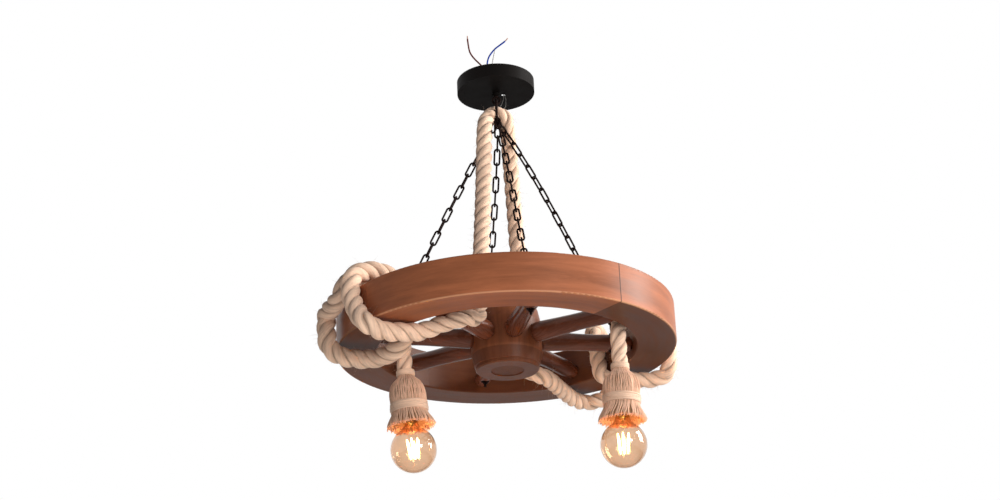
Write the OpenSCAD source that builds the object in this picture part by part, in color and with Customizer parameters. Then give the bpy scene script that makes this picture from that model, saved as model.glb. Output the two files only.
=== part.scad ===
// Wagon wheel chandelier: a wooden wheel hangs level from four chains, and one thick
// rope lies over the hanger, winds round the rim on both sides and ends in two lamps.
// Origin: middle of the ceiling bracket, on the ceiling. +Z up, the near side is -Y.

/* [Wheel] */
// Outer diameter of the rim
wheel_d = 600; // [500:10:760]
// Depth of the rim from its outer to its inner face
rim_depth = 70; // [55:1:80]
// Height of the rim
rim_h = 70; // [56:1:84]
// Ceiling to the underside of the rim
wheel_drop = 540; // [480:5:800]
// Radius of the rim's rounded arrises
arris_r = 2.5; // [1:0.5:5]
// Direction of the first spoke, anticlockwise from +X
spoke_angle = 13; // [5:1:20]
// Direction of the first joint between two felloes
felloe_joint_angle = 40; // [32:1:44]
// Width of the gap at each joint between felloes
felloe_gap = 0.4; // [0.2:0.1:1]
// Height of the spokes' middle above the underside of the rim
spoke_rise = 24; // [22:1:32]

/* [Spokes] */
// Radius of the rounded root beside the hub
spoke_root_r = 16; // [13:0.5:18]
// Radius of the slim neck
spoke_neck_r = 11.5; // [9:0.5:13]
// Radius of the swell, where the eye bolt passes
spoke_swell_r = 15; // [12:0.5:17]
// Radius of the tip against the rim
spoke_tip_r = 13.5; // [11:0.5:16]
// Radius of the tenons in the hub and the rim
tenon_r = 9; // [7:0.5:10]
// Length of the tenon in the rim
rim_tenon_l = 28; // [18:1:36]
// Length of the tenon in the hub
hub_tenon_l = 24; // [16:1:30]

/* [Hub] */
// Largest diameter of the hub
hub_d = 126; // [110:2:140]
// Diameter of the hub's end faces
hub_end_d = 112; // [96:2:124]
// Height of the hub
hub_h = 116; // [100:2:140]
// Height of the flat band at each end of the hub
hub_band_h = 7; // [4:1:10]
// Diameter of the plug in the underside of the hub
hub_plug_d = 58; // [40:2:70]
// Thickness of the plug
hub_plug_t = 12; // [8:1:16]

/* [Chains] */
// Diameter of the chain's wire
chain_wire = 3.2; // [2.4:0.1:3.4]
// Inner width of a link
link_in_w = 5.9; // [5.8:0.1:7]
// Outer length of a link, which is trimmed to fit a whole number
link_l = 31.5; // [26:0.5:38]
// Distance of the eye bolts from the middle of the wheel
bolt_circle_r = 194; // [150:1:200]
// Diameter of the eye bolts' wire and shank
bolt_wire = 4; // [3.5:0.5:5]
// Radius of an eye, to the middle of its wire
bolt_eye_r = 7; // [6:0.5:8]
// Height of an eye's lowest point above the spoke
bolt_eye_rise = 9; // [7:0.5:14]

/* [Hanger] */
// Diameter of the canopy
canopy_d = 145; // [120:5:180]
// Height of the canopy
canopy_h = 25; // [22:1:35]
// Wall of the canopy
canopy_t = 1.2; // [0.8:0.1:2]
// Diameter of the hanger stem
stem_d = 8; // [7:0.5:10]
// Diameter of the hanger eye's wire
hanger_eye_wire = 4.5; // [4:0.1:5]
// Radius of the hanger eye, to the middle of its wire
hanger_eye_r = 6.75; // [6.5:0.25:8]
// Diameter of the hanger link's wire
hanger_wire = 5; // [4.5:0.1:5.2]
// Clear height above the rope inside the hanger link
hanger_headroom = 8.8; // [8:0.2:16]
// Length of the ceiling bracket
bracket_l = 100; // [90:2:112]
// Distance between the ceiling screws
screw_spacing = 70; // [66:1:74]

/* [Rope] */
// Diameter of the rope
rope_d = 28; // [26:0.5:28]
// Diameter of the binding twine
twine_d = 2.2; // [1.8:0.1:2.4]
// Turns of twine at the waist of a tassel
waist_turns = 6; // [3:1:6]
// Turns of twine at the neck of a tassel
neck_turns = 3; // [2:1:4]

/* [Lamps] */
// Diameter of a glass globe
globe_d = 79; // [70:1:84]
// Tilt of the left lamp, as its stiff rope leaves it
tilt_left = -4.8; // [-8:0.2:8]
// Tilt of the right lamp
tilt_right = 1; // [-8:0.2:8]
// Rope below the rim on the left lamp
drop_left_l = 28; // [24:1:60]
// Rope below the rim on the right lamp
drop_right_l = 32; // [24:1:60]
// Length of a tassel
tassel_l = 99; // [96:1:110]

/* [Hidden] */

seat_gap = 0.3;      // clearance where one piece rests on another
fit_gap = 0.15;      // clearance of a glued tenon, dowel or plug
wood = "saddlebrown";
dark_steel = "darkslategray";
jute = "burlywood";
$fn = 48;

// ---- Helpers -------------------------------------------------------------------------
function unit(v) = v / norm(v);
function on_circle(r, angle, z = 0) = [r * cos(angle), r * sin(angle), z];
function reversed(list) = [for (i = [len(list) - 1 : -1 : 0]) list[i]];
function slice(list, first, last) = [for (i = [first : last]) list[i]];

// Smooth curve through the points p[i] and p[i+1], at the share t between them
function spline_point(p, i, t) =
    let (a = p[max(i - 1, 0)], b = p[i], c = p[i + 1], d = p[min(i + 2, len(p) - 1)])
    0.5 * ((2 * b) + (c - a) * t + (2 * a - 5 * b + 4 * c - d) * t * t
           + (3 * b - a - 3 * c + d) * t * t * t);
function spline(p, steps) = concat(
    [for (i = [0 : len(p) - 2]) for (s = [0 : steps - 1]) spline_point(p, i, s / steps)],
    [p[len(p) - 1]]);

// Direction of a line of points at each of them
function tangents(p) = [for (i = [0 : len(p) - 1])
    unit(p[min(i + 1, len(p) - 1)] - p[max(i - 1, 0)])];
// The normal nearest to n that is square to the direction t
function carried(n, t) = unit(n - (n * t) * t);
// One normal per point, each carried over from the one before it
function normals(t, first) = [for (i = 0, n = carried(first, t[0]); i < len(t);
    i = i + 1, n = i < len(t) ? carried(n, t[i]) : n) n];
function ring(centre, t, n, r, sides) = [for (k = [0 : sides - 1])
    centre + r * (cos(360 * k / sides) * n + sin(360 * k / sides) * cross(t, n))];

// A round tube through the points p: rings joined by triangles, with flat ends
module tube(p, r, sides, first = [0, 0, 1]) {
    t = tangents(p);
    n = normals(t, first);
    ring_tube([for (i = [0 : len(p) - 1]) ring(p[i], t[i], n[i], r, sides)], sides);
}
module ring_tube(rings, sides) {
    count = len(rings);
    walls = [for (i = [0 : count - 2]) for (k = [0 : sides - 1])
        let (a = i * sides + k, b = i * sides + (k + 1) % sides)
        each [[a, a + sides, b], [b, a + sides, b + sides]]];
    start_cap = [for (k = [1 : sides - 2]) [0, k, k + 1]];
    end_cap = [for (k = [1 : sides - 2]) (count - 1) * sides * [1, 1, 1] + [0, k + 1, k]];
    polyhedron([for (points = rings) each points], concat(walls, start_cap, end_cap));
}

// A revolved body: points are [radius, height]
module turned(points) {
    rotate_extrude() polygon(points);
}

// Puts a shape drawn along +X, flat in XY, at a place with direction d and normal n
module aligned(place, d, n) {
    side = cross(n, d);
    multmatrix([[d[0], side[0], n[0], place[0]],
                [d[1], side[1], n[1], place[1]],
                [d[2], side[2], n[2], place[2]]])
        children();
}

// A hexagon nut across the flats af, with its axis along Z from z = 0 up
module nut(af, h, hole_d) {
    difference() {
        cylinder(d = af / cos(30), h = h, $fn = 6);
        translate([0, 0, -1]) cylinder(d = hole_d, h = h + 2);
    }
}

// ---- Ceiling fittings ----------------------------------------------------------------
bracket_w = 22;
bracket_t = 2;
bracket_step = 8;              // depth of the bracket's middle below the ceiling
bracket_bend_x = 24;           // where the bracket steps up to the ceiling
screw_slot_l = 12;
screw_slot_d = 5;
nut_h = 5;
collar_d = 14;
collar_h = 6;
bracket_seat_z = -bracket_step - bracket_t;

module ceiling_bracket() color("lightgray") difference() {
    union() {
        for (side = [-1, 1]) {
            translate([side > 0 ? bracket_bend_x : -bracket_l / 2, -bracket_w / 2, -bracket_t])
                cube([bracket_l / 2 - bracket_bend_x, bracket_w, bracket_t]);
            translate([side > 0 ? bracket_bend_x - bracket_t : -bracket_bend_x,
                       -bracket_w / 2, bracket_seat_z])
                cube([bracket_t, bracket_w, bracket_step + bracket_t]);
        }
        translate([-bracket_bend_x, -bracket_w / 2, bracket_seat_z])
            cube([2 * bracket_bend_x, bracket_w, bracket_t]);
    }
    translate([0, 0, bracket_seat_z - 1]) cylinder(d = stem_d + 0.4, h = bracket_t + 2);
    for (side = [-1, 1]) translate([side * screw_spacing / 2, 0, -bracket_t - 1])
        screw_slot(bracket_t + 2);
}

module screw_slot(h) {
    straight = screw_slot_l - screw_slot_d;
    for (end = [-1, 1]) translate([end * straight / 2, 0, 0]) cylinder(d = screw_slot_d, h = h);
    translate([-straight / 2, -screw_slot_d / 2, 0]) cube([straight, screw_slot_d, h]);
}

module bracket_nut() color("lightgray")
    translate([0, 0, bracket_seat_z + bracket_t]) nut(13, nut_h, stem_d + 0.2);

lead_hole_r = 4;               // hole in the canopy for the two lamp leads
lead_hole_at = [14, 8];
module canopy_cup() color(dark_steel) difference() {
    translate([0, 0, -canopy_h]) cylinder(d = canopy_d, h = canopy_h, $fn = 96);
    translate([0, 0, -canopy_h + canopy_t])
        cylinder(d = canopy_d - 2 * canopy_t, h = canopy_h, $fn = 96);
    translate([0, 0, -canopy_h - 1]) cylinder(d = stem_d + 0.4, h = canopy_t + 2);
    translate([lead_hole_at[0], lead_hole_at[1], -canopy_h - 1])
        cylinder(r = lead_hole_r, h = canopy_t + 2);
}

module canopy_collar() color(dark_steel) translate([0, 0, -canopy_h - collar_h]) difference() {
    cylinder(d = collar_d, h = collar_h);
    translate([0, 0, -1]) cylinder(d = stem_d + 0.2, h = collar_h + 2);
}

hanger_eye_z = -canopy_h - collar_h - hanger_eye_r - hanger_eye_wire / 2;
module hanger_eye_bolt() color(dark_steel) {
    translate([0, 0, hanger_eye_z]) rotate([90, 0, 0])
        rotate_extrude() translate([hanger_eye_r, 0]) circle(d = hanger_eye_wire);
    translate([0, 0, hanger_eye_z + hanger_eye_r])
        cylinder(d = stem_d, h = -hanger_eye_z - hanger_eye_r - 1.5);
}

block_size = [24, 15, 13];
block_at = [-4, -34];
block_floor = -canopy_h + canopy_t;
pole_pitch = 7.5;
pole_bore = 4;
pole_z = block_floor + 6;
module terminal_block() color("white") difference() {
    translate([block_at[0] - block_size[0] / 2, block_at[1] - block_size[1] / 2, block_floor])
        cube(block_size);
    for (pole = [-1 : 1]) translate([block_at[0] + pole * pole_pitch,
                                     block_at[1] - block_size[1], pole_z])
        rotate([-90, 0, 0]) cylinder(d = pole_bore, h = 2 * block_size[1]);
}

module terminal_clamps() color("gold") for (pole = [-1 : 1])
    translate([block_at[0] + pole * pole_pitch, block_at[1] - block_size[1] / 2 + 1.5, pole_z])
    rotate([-90, 0, 0]) difference() {
        cylinder(d = pole_bore - 0.3, h = block_size[1] - 3);
        translate([0, 0, -1]) cylinder(d = 2.4, h = block_size[1]);
    }

// Supply leads: out of the block, up past the canopy's edge and above the ceiling. The
// heights of all leads count from the block's poles.
lead_d = 2.4;
clear_lead_d = 1.6;
brown_route = [[-11.5, -40.2, 0], [-12, -45, 0], [-14, -50, 3], [-16.5, -51, 10],
               [-19.5, -50.5, 19], [-26, -50, 28.5], [-38, -50, 43], [-45, -50, 56],
               [-47.5, -50, 71], [-48.6, -50, 83], [-48.8, -50, 90.5]];
blue_route = [[-4, -40.2, 0], [-4.5, -45, 0], [-7, -49, 3], [-10.5, -50, 10],
              [-13, -50, 20], [-13.6, -49, 30], [-11.3, -48, 41.5], [-6.6, -48, 51],
              [2.4, -48, 62], [12.6, -49, 69.6], [20.9, -50, 75.6], [26.7, -50, 82]];
clear_route = [[3.5, -40.2, 0], [3.5, -45, 0], [2, -49, 3], [-1, -50, 10],
               [-3.5, -50, 20], [-3.9, -51, 30], [-1.1, -52, 44], [2.2, -52.5, 58.6]];
// Lamp leads: from the block, out through the canopy's hole and down onto the rope
lamp_lead_d = 1.8;
lamp_lead_routes = [
    [[-4, -27.8, 0], [-3.5, -22, 0], [-1, -15, -1.2], [7, -5, -2.7], [13, 4.5, -2.7],
     [14, 7, -7.2], [13.5, 8, -14.2], [10, 7, -26.2], [6, 4, -33], [5, 3.4, -34.8]],
    [[3.5, -27.8, 0], [4.5, -22, 0], [8, -14, -1.2], [13, -3, -2.7], [16.5, 6, -3.2],
     [16.5, 9, -8.2], [18, 9, -16.2], [17, 8, -30.2], [14, 6, -36.5], [13.5, 5.5, -37.6]]];
module lead(route, d) {
    translate([0, 0, pole_z]) tube(spline(route, 2), d / 2, 8);
}
module supply_lead_brown() color("maroon") lead(brown_route, lead_d);
module supply_lead_blue() color("mediumblue") lead(blue_route, lead_d);
module supply_lead_clear() color("gainsboro") lead(clear_route, clear_lead_d);
module lamp_leads() color("gainsboro") for (route = lamp_lead_routes) lead(route, lamp_lead_d);

// ---- Hanger link and chains ----------------------------------------------------------
rope_r = rope_d / 2;
link_bend_r = (link_in_w + chain_wire) / 2;
// The link's top bend rests in the hanger eye, and its bowl holds the rope on four chains
link_apex_z = hanger_eye_z - hanger_eye_r + hanger_eye_wire / 2 + seat_gap + hanger_wire / 2;
bowl_z = link_apex_z - hanger_wire / 2 - hanger_headroom - rope_r;
bowl_r = rope_r + seat_gap + chain_wire + link_in_w / 2;

// A closed oval of wire in the XY plane, long along X: straights and two half circles.
// The straights are whole thousandths long, so that all four pieces meet exactly.
module wire_oval(length, bend_r, wire) {
    half_straight = round(500 * (length - 2 * bend_r)) / 1000;
    for (side = [0, 180]) rotate([0, 0, side]) {
        translate([half_straight, 0, 0]) rotate([0, 0, -90])
            rotate_extrude(angle = 180) translate([bend_r, 0]) circle(d = wire);
        translate([-half_straight, bend_r, 0]) rotate([0, 90, 0])
            cylinder(d = wire, h = 2 * half_straight);
    }
}

module hanger_link() color(dark_steel)
    aligned([0, 0, (link_apex_z + bowl_z - bowl_r) / 2], [0, 0, 1], [1, 0, 0])
        wire_oval(link_apex_z - bowl_z + bowl_r, bowl_r, hanger_wire, $fn = 32);

rim_r = wheel_d / 2;
rim_in_r = rim_r - rim_depth;
rim_z = -wheel_drop;
spoke_z = rim_z + spoke_rise;
washer_t = 1.2;
bolt_eye_z = spoke_z + spoke_swell_r + bolt_eye_rise + bolt_wire / 2 + bolt_eye_r;

// Each chain hooks on the bowl at its own angle beside the lowest point
chain_turns = [0, 90, 180, 270];
bowl_angles = [9, 28, -9, -28];
function chain_start(i) = [0, bowl_r * sin(bowl_angles[i]), bowl_z - bowl_r * cos(bowl_angles[i])];
function bolt_eye(i) = on_circle(bolt_circle_r, spoke_angle + chain_turns[i], bolt_eye_z);
function chain_end(i) = let (pull = chain_start(i) - bolt_eye(i))
    bolt_eye(i) + bolt_eye_r * unit([0, pull[1], pull[2]]);

module chain(i) {
    start = chain_start(i);
    span = norm(chain_end(i) - start);
    d = unit(chain_end(i) - start);
    bowl_tangent = [0, cos(bowl_angles[i]), sin(bowl_angles[i])];
    n = carried(bowl_tangent, d);
    // An odd count, so that the last link lies like the first
    count = 2 * round((span / (link_l - 2 * chain_wire) - 1) / 2) + 1;
    pitch = (span + (hanger_wire + bolt_wire) / 2 + (count + 1) * seat_gap) / count;
    length = pitch + chain_wire;
    first_wire = -(hanger_wire + chain_wire) / 2 - seat_gap;
    color("dimgray") for (k = [0 : count - 1]) {
        middle = first_wire + length / 2 + k * (length - chain_wire - seat_gap);
        aligned(start + middle * d, d, k % 2 == 0 ? n : cross(d, n))
            wire_oval(length, link_bend_r, chain_wire, $fn = 24);
    }
}
module chain_right() { chain(0); }
module chain_far() { chain(1); }
module chain_left() { chain(2); }
module chain_near() { chain(3); }

bolt_nut_h = 4;
bolt_washer_d = 15;
bolt_tail = 4;
module at_bolts() {
    for (turn = chain_turns) rotate([0, 0, spoke_angle + turn])
        translate([bolt_circle_r, 0, 0]) children();
}
bolt_seat = spoke_swell_r + 0.2;      // washers lie on small flats cut in the spokes
module eye_bolts() color("dimgray") for (i = [0 : 3]) translate(bolt_eye(i)) {
    shank_l = bolt_eye_z - bolt_eye_r - spoke_z + bolt_seat + washer_t + bolt_nut_h + bolt_tail;
    rotate([0, 90, 0]) rotate_extrude() translate([bolt_eye_r, 0]) circle(d = bolt_wire);
    translate([0, 0, -bolt_eye_r - shank_l]) cylinder(d = bolt_wire, h = shank_l);
}
module eye_bolt_washers() color("dimgray") at_bolts() for (side = [-1, 1])
    translate([0, 0, spoke_z + side * (bolt_flat_h + washer_t / 2) - washer_t / 2])
    difference() {
        cylinder(d = bolt_washer_d, h = washer_t);
        translate([0, 0, -1]) cylinder(d = bolt_wire + 0.4, h = washer_t + 2);
    }
module eye_bolt_nuts() color("dimgray") at_bolts() for (side = [-1, 1])
    translate([0, 0, spoke_z + side * (bolt_flat_h + washer_t + bolt_nut_h / 2) - bolt_nut_h / 2])
    nut(8, bolt_nut_h, bolt_wire + 0.2);

// ---- Wheel ---------------------------------------------------------------------------
hub_r = hub_d / 2;
hub_bottom = spoke_z - hub_h / 2;
bolt_flat_h = spoke_swell_r - 1.8;    // half height between a spoke's two flats
bolt_hole_d = bolt_wire + 0.6;
dowel_d = 10;
dowel_l = 56;
dowel_offset = 16;

// The rim's section, in [radius, height above the underside], with rounded arrises
module rim_section() {
    for (inset = [0, arris_r]) translate([rim_in_r + inset, arris_r - inset])
        square([rim_depth - 2 * inset, rim_h - 2 * (arris_r - inset)]);
    for (x = [rim_in_r + arris_r, rim_r - arris_r], y = [arris_r, rim_h - arris_r])
        translate([x, y]) circle(arris_r, $fn = 24);
}
module spoke_mortises() {
    for (k = [0 : 7]) rotate([0, 0, spoke_angle + 45 * k])
        translate([rim_in_r - 5, 0, spoke_z]) rotate([0, 90, 0])
        cylinder(r = tenon_r + fit_gap, h = rim_tenon_l + 5 + 1);
}
module dowels(extra) {
    for (k = [0 : 3], side = [-1, 1]) rotate([0, 0, felloe_joint_angle + 90 * k])
        translate([rim_r - rim_depth / 2 + side * dowel_offset, 0, rim_z + rim_h / 2])
        rotate([90, 0, 0])
        cylinder(d = dowel_d + 2 * extra, h = dowel_l + 2 * extra, center = true, $fn = 32);
}
module felloe(k) color(wood) difference() {
    gap_angle = felloe_gap / rim_r * 180 / PI;
    rotate([0, 0, felloe_joint_angle + 90 * k + gap_angle / 2]) translate([0, 0, rim_z])
        rotate_extrude(angle = 90 - gap_angle, $fn = 180) rim_section();
    spoke_mortises();
    dowels(fit_gap);
}
module felloe_1() { felloe(0); }
module felloe_2() { felloe(1); }
module felloe_3() { felloe(2); }
module felloe_4() { felloe(3); }
module felloe_dowels() color("tan") dowels(0);

// A turned spoke, drawn along +X from the hub: [radius, distance from the wheel's middle]
spoke_start = hub_r - 1.5;
spoke_end = sqrt(pow(rim_in_r, 2) - pow(spoke_tip_r, 2)) - seat_gap;
function spoke_profile() = let (free = rim_in_r - spoke_start) concat(
    [[0, spoke_start - hub_tenon_l], [tenon_r, spoke_start - hub_tenon_l],
     [tenon_r, spoke_start + 1]],
    [for (a = [-50 : 25 : 90]) [spoke_root_r * cos(a * 0.78),
                                spoke_start + 9 + 11 * sin(a)]],
    [for (s = [0 : 6]) let (t = s / 6)
        [spoke_neck_r + (spoke_swell_r - spoke_neck_r) * (1 - cos(180 * t)) / 2,
         spoke_start + 34 + t * (bolt_circle_r - spoke_start - 48)]],
    [[spoke_swell_r, bolt_circle_r + 12],
     [spoke_tip_r - 1, rim_in_r - 14], [spoke_tip_r, rim_in_r - 6], [spoke_tip_r - 1, spoke_end],
     [tenon_r, spoke_end], [tenon_r, rim_in_r + rim_tenon_l],
     [0, rim_in_r + rim_tenon_l]]);
module spoke(k) color(wood) rotate([0, 0, spoke_angle + 45 * k]) difference() {
    translate([0, 0, spoke_z]) rotate([0, 90, 0]) turned(spoke_profile());
    if (k % 2 == 0) translate([bolt_circle_r, 0, spoke_z]) {
        cylinder(d = bolt_hole_d, h = 4 * spoke_swell_r, center = true, $fn = 32);
        for (side = [0, 180]) rotate([side, 0, 0]) translate([0, 0, bolt_flat_h])
            cylinder(d = bolt_washer_d + 1, h = spoke_swell_r);
    }
}
module spoke_1() { spoke(0); }
module spoke_2() { spoke(1); }
module spoke_3() { spoke(2); }
module spoke_4() { spoke(3); }
module spoke_5() { spoke(4); }
module spoke_6() { spoke(5); }
module spoke_7() { spoke(6); }
module spoke_8() { spoke(7); }

hub_waist_h = 26;      // half height of the hub's straight middle
plug_inset = 1;
module hub() color(wood) difference() {
    translate([0, 0, spoke_z]) turned([
        [0, -hub_h / 2], [hub_end_d / 2 - 2, -hub_h / 2], [hub_end_d / 2, -hub_h / 2 + 2],
        [hub_end_d / 2, -hub_h / 2 + hub_band_h], [hub_end_d / 2 + 2, -hub_h / 2 + hub_band_h + 1],
        [hub_r, -hub_waist_h], [hub_r, hub_waist_h],
        [hub_end_d / 2 + 2, hub_h / 2 - hub_band_h - 1], [hub_end_d / 2, hub_h / 2 - hub_band_h],
        [hub_end_d / 2, hub_h / 2 - 2], [hub_end_d / 2 - 2, hub_h / 2], [0, hub_h / 2]]);
    for (k = [0 : 7]) rotate([0, 0, spoke_angle + 45 * k])
        translate([spoke_start - hub_tenon_l - 1, 0, spoke_z]) rotate([0, 90, 0])
        cylinder(r = tenon_r + fit_gap, h = hub_r);
    for (k = [0 : 7]) rotate([0, 0, spoke_angle + 45 * k])
        translate([spoke_start - seat_gap, 0, spoke_z]) rotate([0, 90, 0])
        cylinder(r = spoke_root_r + 1, h = hub_r);
    translate([0, 0, hub_bottom - 1])
        cylinder(d = hub_plug_d + 2 * fit_gap, h = hub_plug_t + plug_inset + 1);
}
module hub_plug() color(wood) translate([0, 0, hub_bottom + plug_inset]) difference() {
    cylinder(d = hub_plug_d, h = hub_plug_t);
    translate([0, 0, -1]) cylinder(d = 9, h = 4);
}

// ---- Rope ----------------------------------------------------------------------------
// Windings, chosen by hand: [angle, across, up]. Across and up count from the middle of the
// rim's section, where 1 is the rope lying against the rim's face.
left_winding = [[254, -2.02, -0.45], [250.5, -1.81, -0.65], [246, -1.56, -0.77],
    [237, -1.33, -0.87], [229.5, -0.9, -1], [226.5, -0.21, -1.06], [224.5, 0.47, -1.09],
    [224, 1.07, -0.93], [220, 1.05, -0.43], [217, 1.03, 0.1], [216, 1.03, 0.51],
    [215.5, 0.95, 0.91], [214.5, 0.68, 1.16], [214.5, 0.34, 1.32], [215, -0.13, 1.36],
    [214.5, -0.65, 1.24], [214, -1.03, 0.89], [213.5, -1.12, 0.41], [213.5, -1.13, -0.2],
    [214, -1.11, -0.73], [210.5, -1.02, -1.05], [203.5, -0.82, -1.16], [198, -0.45, -1.18],
    [196, 0.04, -1.16], [197, 0.64, -1.12], [197.5, 1.04, -0.84], [197.5, 1.15, -0.36],
    [196.5, 1.15, 0.02], [197.5, 1.12, 0.34], [201, 1.06, 0.44], [204.8, 1.04, 0.5],
    [208, 1.04, 0.66], [208.8, 0.9, 1], [207.8, 0.42, 1.17], [206.6, -0.05, 1.17],
    [206, -0.55, 1.13], [206, -0.98, 0.93], [205, -1.07, 0.51], [203.5, -1.27, 0],
    [201, -1.47, -0.47], [199, -1.55, -0.73]];
right_winding = [[72.5, -3.27, -0.51], [65, -3.36, -0.87], [57, -3.25, -1.03],
    [56, -2.73, -1.05], [60.5, -1.44, -1.05], [62, -0.25, -1.08], [60.5, 0.42, -1.09],
    [56.5, 0.72, -1.06], [54, 0.97, -0.88], [53, 1.04, -0.41], [52.5, 1.03, 0.1],
    [52.5, 1.05, 0.58], [52, 0.94, 0.96], [50.5, 0.4, 1.18], [47.5, -0.2, 1.22],
    [44, -0.7, 1.14], [41.5, -1.03, 0.85], [39.5, -1.05, 0.45], [38.5, -1.05, 0],
    [37.5, -1.07, -0.51], [35.5, -1.04, -0.93], [33, -0.84, -1.16], [30, -0.41, -1.24],
    [28.5, 0.18, -1.22], [26.5, 0.66, -1.18], [24.2, 0.98, -1.03], [22, 1.07, -0.7],
    [21, 1.06, -0.3], [20.8, 1.05, 0.15], [21, 1.05, 0.58], [20.8, 0.92, 0.98],
    [19, 0.42, 1.2], [15, -0.13, 1.26], [9.5, -0.58, 1.24], [3.5, -0.94, 1.08],
    [-2.5, -1.11, 0.75], [-10.5, -1.17, 0.41], [-17.5, -1.15, -0.02], [-23, -1.08, -0.51],
    [-26.5, -1.02, -0.93]];
pivot_left = [199, -1.55, -1.12];
pivot_right = [333.5, -1.02, -1.36];
// The arch over the hanger, outwards from its crest: x, y and the depth below the crest
left_arch = [[-10, -2, 2.5], [-18, -6.5, 10], [-22, -14, 22], [-24, -24.5, 42]];
right_arch = [[10, 2, 2.5], [18, 6, 10], [22, 13, 22], [22, 27, 45]];
leg_bow = [2, 10, 0];          // how far a leg bows out between the arch and the rim
leg_steps = 6;
rope_sides = 8;
rope_steps = 2;

across_unit = rim_depth / 2 + rope_r + seat_gap;
up_unit = rim_h / 2 + rope_r + seat_gap;
function by_rim(p) = on_circle(rim_r - rim_depth / 2 + p[1] * across_unit, p[0],
                               rim_z + rim_h / 2 + p[2] * up_unit);
function arch(points) = [for (p = points) [p[0], p[1], bowl_z - p[2]]];
function leg(a, b) = [for (s = [1 : leg_steps - 1]) let (t = s / leg_steps)
    a + (b - a) * t + leg_bow * sin(180 * t)];
function half_rope(arch, winding) = concat(arch, leg(arch[len(arch) - 1], winding[0]), winding);
lamp_pivot_left = by_rim(pivot_left);
lamp_pivot_right = by_rim(pivot_right);
// A winding ends straight above the rounded top of the lamp's own piece of rope
function rope_end(pivot) = pivot + [0, 0, rope_r + seat_gap];
left_half = half_rope(arch(left_arch), [for (p = left_winding) by_rim(p)]);
right_half = half_rope(arch(right_arch), [for (p = right_winding) by_rim(p)]);
rope_path = concat([rope_end(lamp_pivot_left)],
                   spline(concat(reversed(left_half), [[0, 0, bowl_z]], right_half), rope_steps),
                   [rope_end(lamp_pivot_right)]);
rope_t = tangents(rope_path);
rope_n = normals(rope_t, [1, 0, 0]);
rope_rings = [for (i = [0 : len(rope_path) - 1])
    ring(rope_path[i], rope_t[i], rope_n[i], rope_r, rope_sides)];
left_split = len(left_winding) * rope_steps - 1;
right_split = len(rope_path) - len(right_winding) * rope_steps;

// Least distance between the rope's surfaces where it passes itself, on its points
function self_gap(p, apart) = min([for (i = [0 : len(p) - 1])
    for (j = [i + apart : 1 : len(p) - 1]) norm(p[i] - p[j])]) - rope_d;
winding_gap_left = self_gap(slice(rope_path, 0, left_split), 8);
winding_gap_right = self_gap(slice(rope_path, right_split, len(rope_path) - 1), 8);
echo(winding_gap_left = winding_gap_left, winding_gap_right = winding_gap_right);

module rope_part(first, last) color(jute) ring_tube(slice(rope_rings, first, last), rope_sides);
module rope_suspension() { rope_part(left_split, right_split); }
module rope_winding_left() { rope_part(0, left_split); }
module rope_winding_right() { rope_part(right_split, len(rope_path) - 1); }

// ---- Lamps, drawn downwards from the top of the tassel --------------------------------
globe_r = globe_d / 2;
globe_z = -140;
neck_r = 15;
waist_r = 31.5;
skirt_r = 41.5;
holder_r = 19.5;
holder_top = -29;
holder_bottom = -84;
cap_r = 13;
cap_top = -63;
cap_bottom = -90;
glass_t = 0.9;
waist_top = -55;
neck_band_top = -2;
twine_pitch = twine_d + 0.5;
neck_l = 3 + twine_pitch * neck_turns + twine_d;
waist_bottom = waist_top - twine_pitch * waist_turns - twine_d - 1;

module place_lamp(pivot, tilt, drop) {
    translate(pivot) rotate([0, tilt, 0]) translate([0, 0, -drop]) children();
}
module place_left() { place_lamp(lamp_pivot_left, tilt_left, drop_left_l) children(); }
module place_right() { place_lamp(lamp_pivot_right, tilt_right, drop_right_l) children(); }

// The rope's end swings about the middle of its rounded top
module rope_drop(drop) color(jute) {
    cylinder(r = rope_r, h = drop);
    translate([0, 0, drop]) sphere(r = rope_r);
}

// A tassel's outside and inside: [radius, height] from the top down
tassel_out = [[neck_r, 0], [neck_r, -neck_l], [19, -neck_l - 3], [25, -neck_l - 7],
              [28.5, -neck_l - 12], [30.5, -neck_l - 19], [waist_r, waist_top + 6],
              [waist_r, waist_bottom], [33, waist_bottom - 4], [36.5, -tassel_l + 16],
              [39.5, -tassel_l + 7], [skirt_r, -tassel_l]];
tassel_in = [[skirt_r - 3, -tassel_l], [36, -93], [30, -88.5], [holder_r + 0.5, -85],
             [holder_r + 0.5, holder_top + seat_gap], [0, holder_top + seat_gap]];
module tassel() color(jute) turned(concat([[0, 0]], tassel_out, tassel_in));

// A helix of twine lying round a body of radius r, from z = top downwards
module binding(r, top, turns) {
    wind_r = r + seat_gap + twine_d / 2;
    color(jute) tube([for (k = [0 : 24 * turns])
        on_circle(wind_r, 15 * k, top - twine_d / 2 - twine_pitch * k / 24)], twine_d / 2, 6);
}
module neck_binding() { binding(neck_r, neck_band_top, neck_turns); }
module waist_binding() { binding(waist_r, waist_top, waist_turns); }

module lampholder() color("black") turned([
    [0, holder_top], [12, holder_top], [15, holder_top - 3], [15, holder_top - 12],
    [holder_r, holder_top - 17], [holder_r, holder_bottom], [15.2, holder_bottom],
    [15.2, cap_top + 5], [0, cap_top + 5]]);
module holder_shell() color("gold") turned([
    [0, cap_top + 4.7], [14.9, cap_top + 4.7], [14.9, cap_top - 18], [cap_r + 0.8, cap_top - 18],
    [cap_r + 0.8, cap_top + 3.5], [3, cap_top + 3.5], [3, cap_top + seat_gap],
    [0, cap_top + seat_gap]]);

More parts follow.
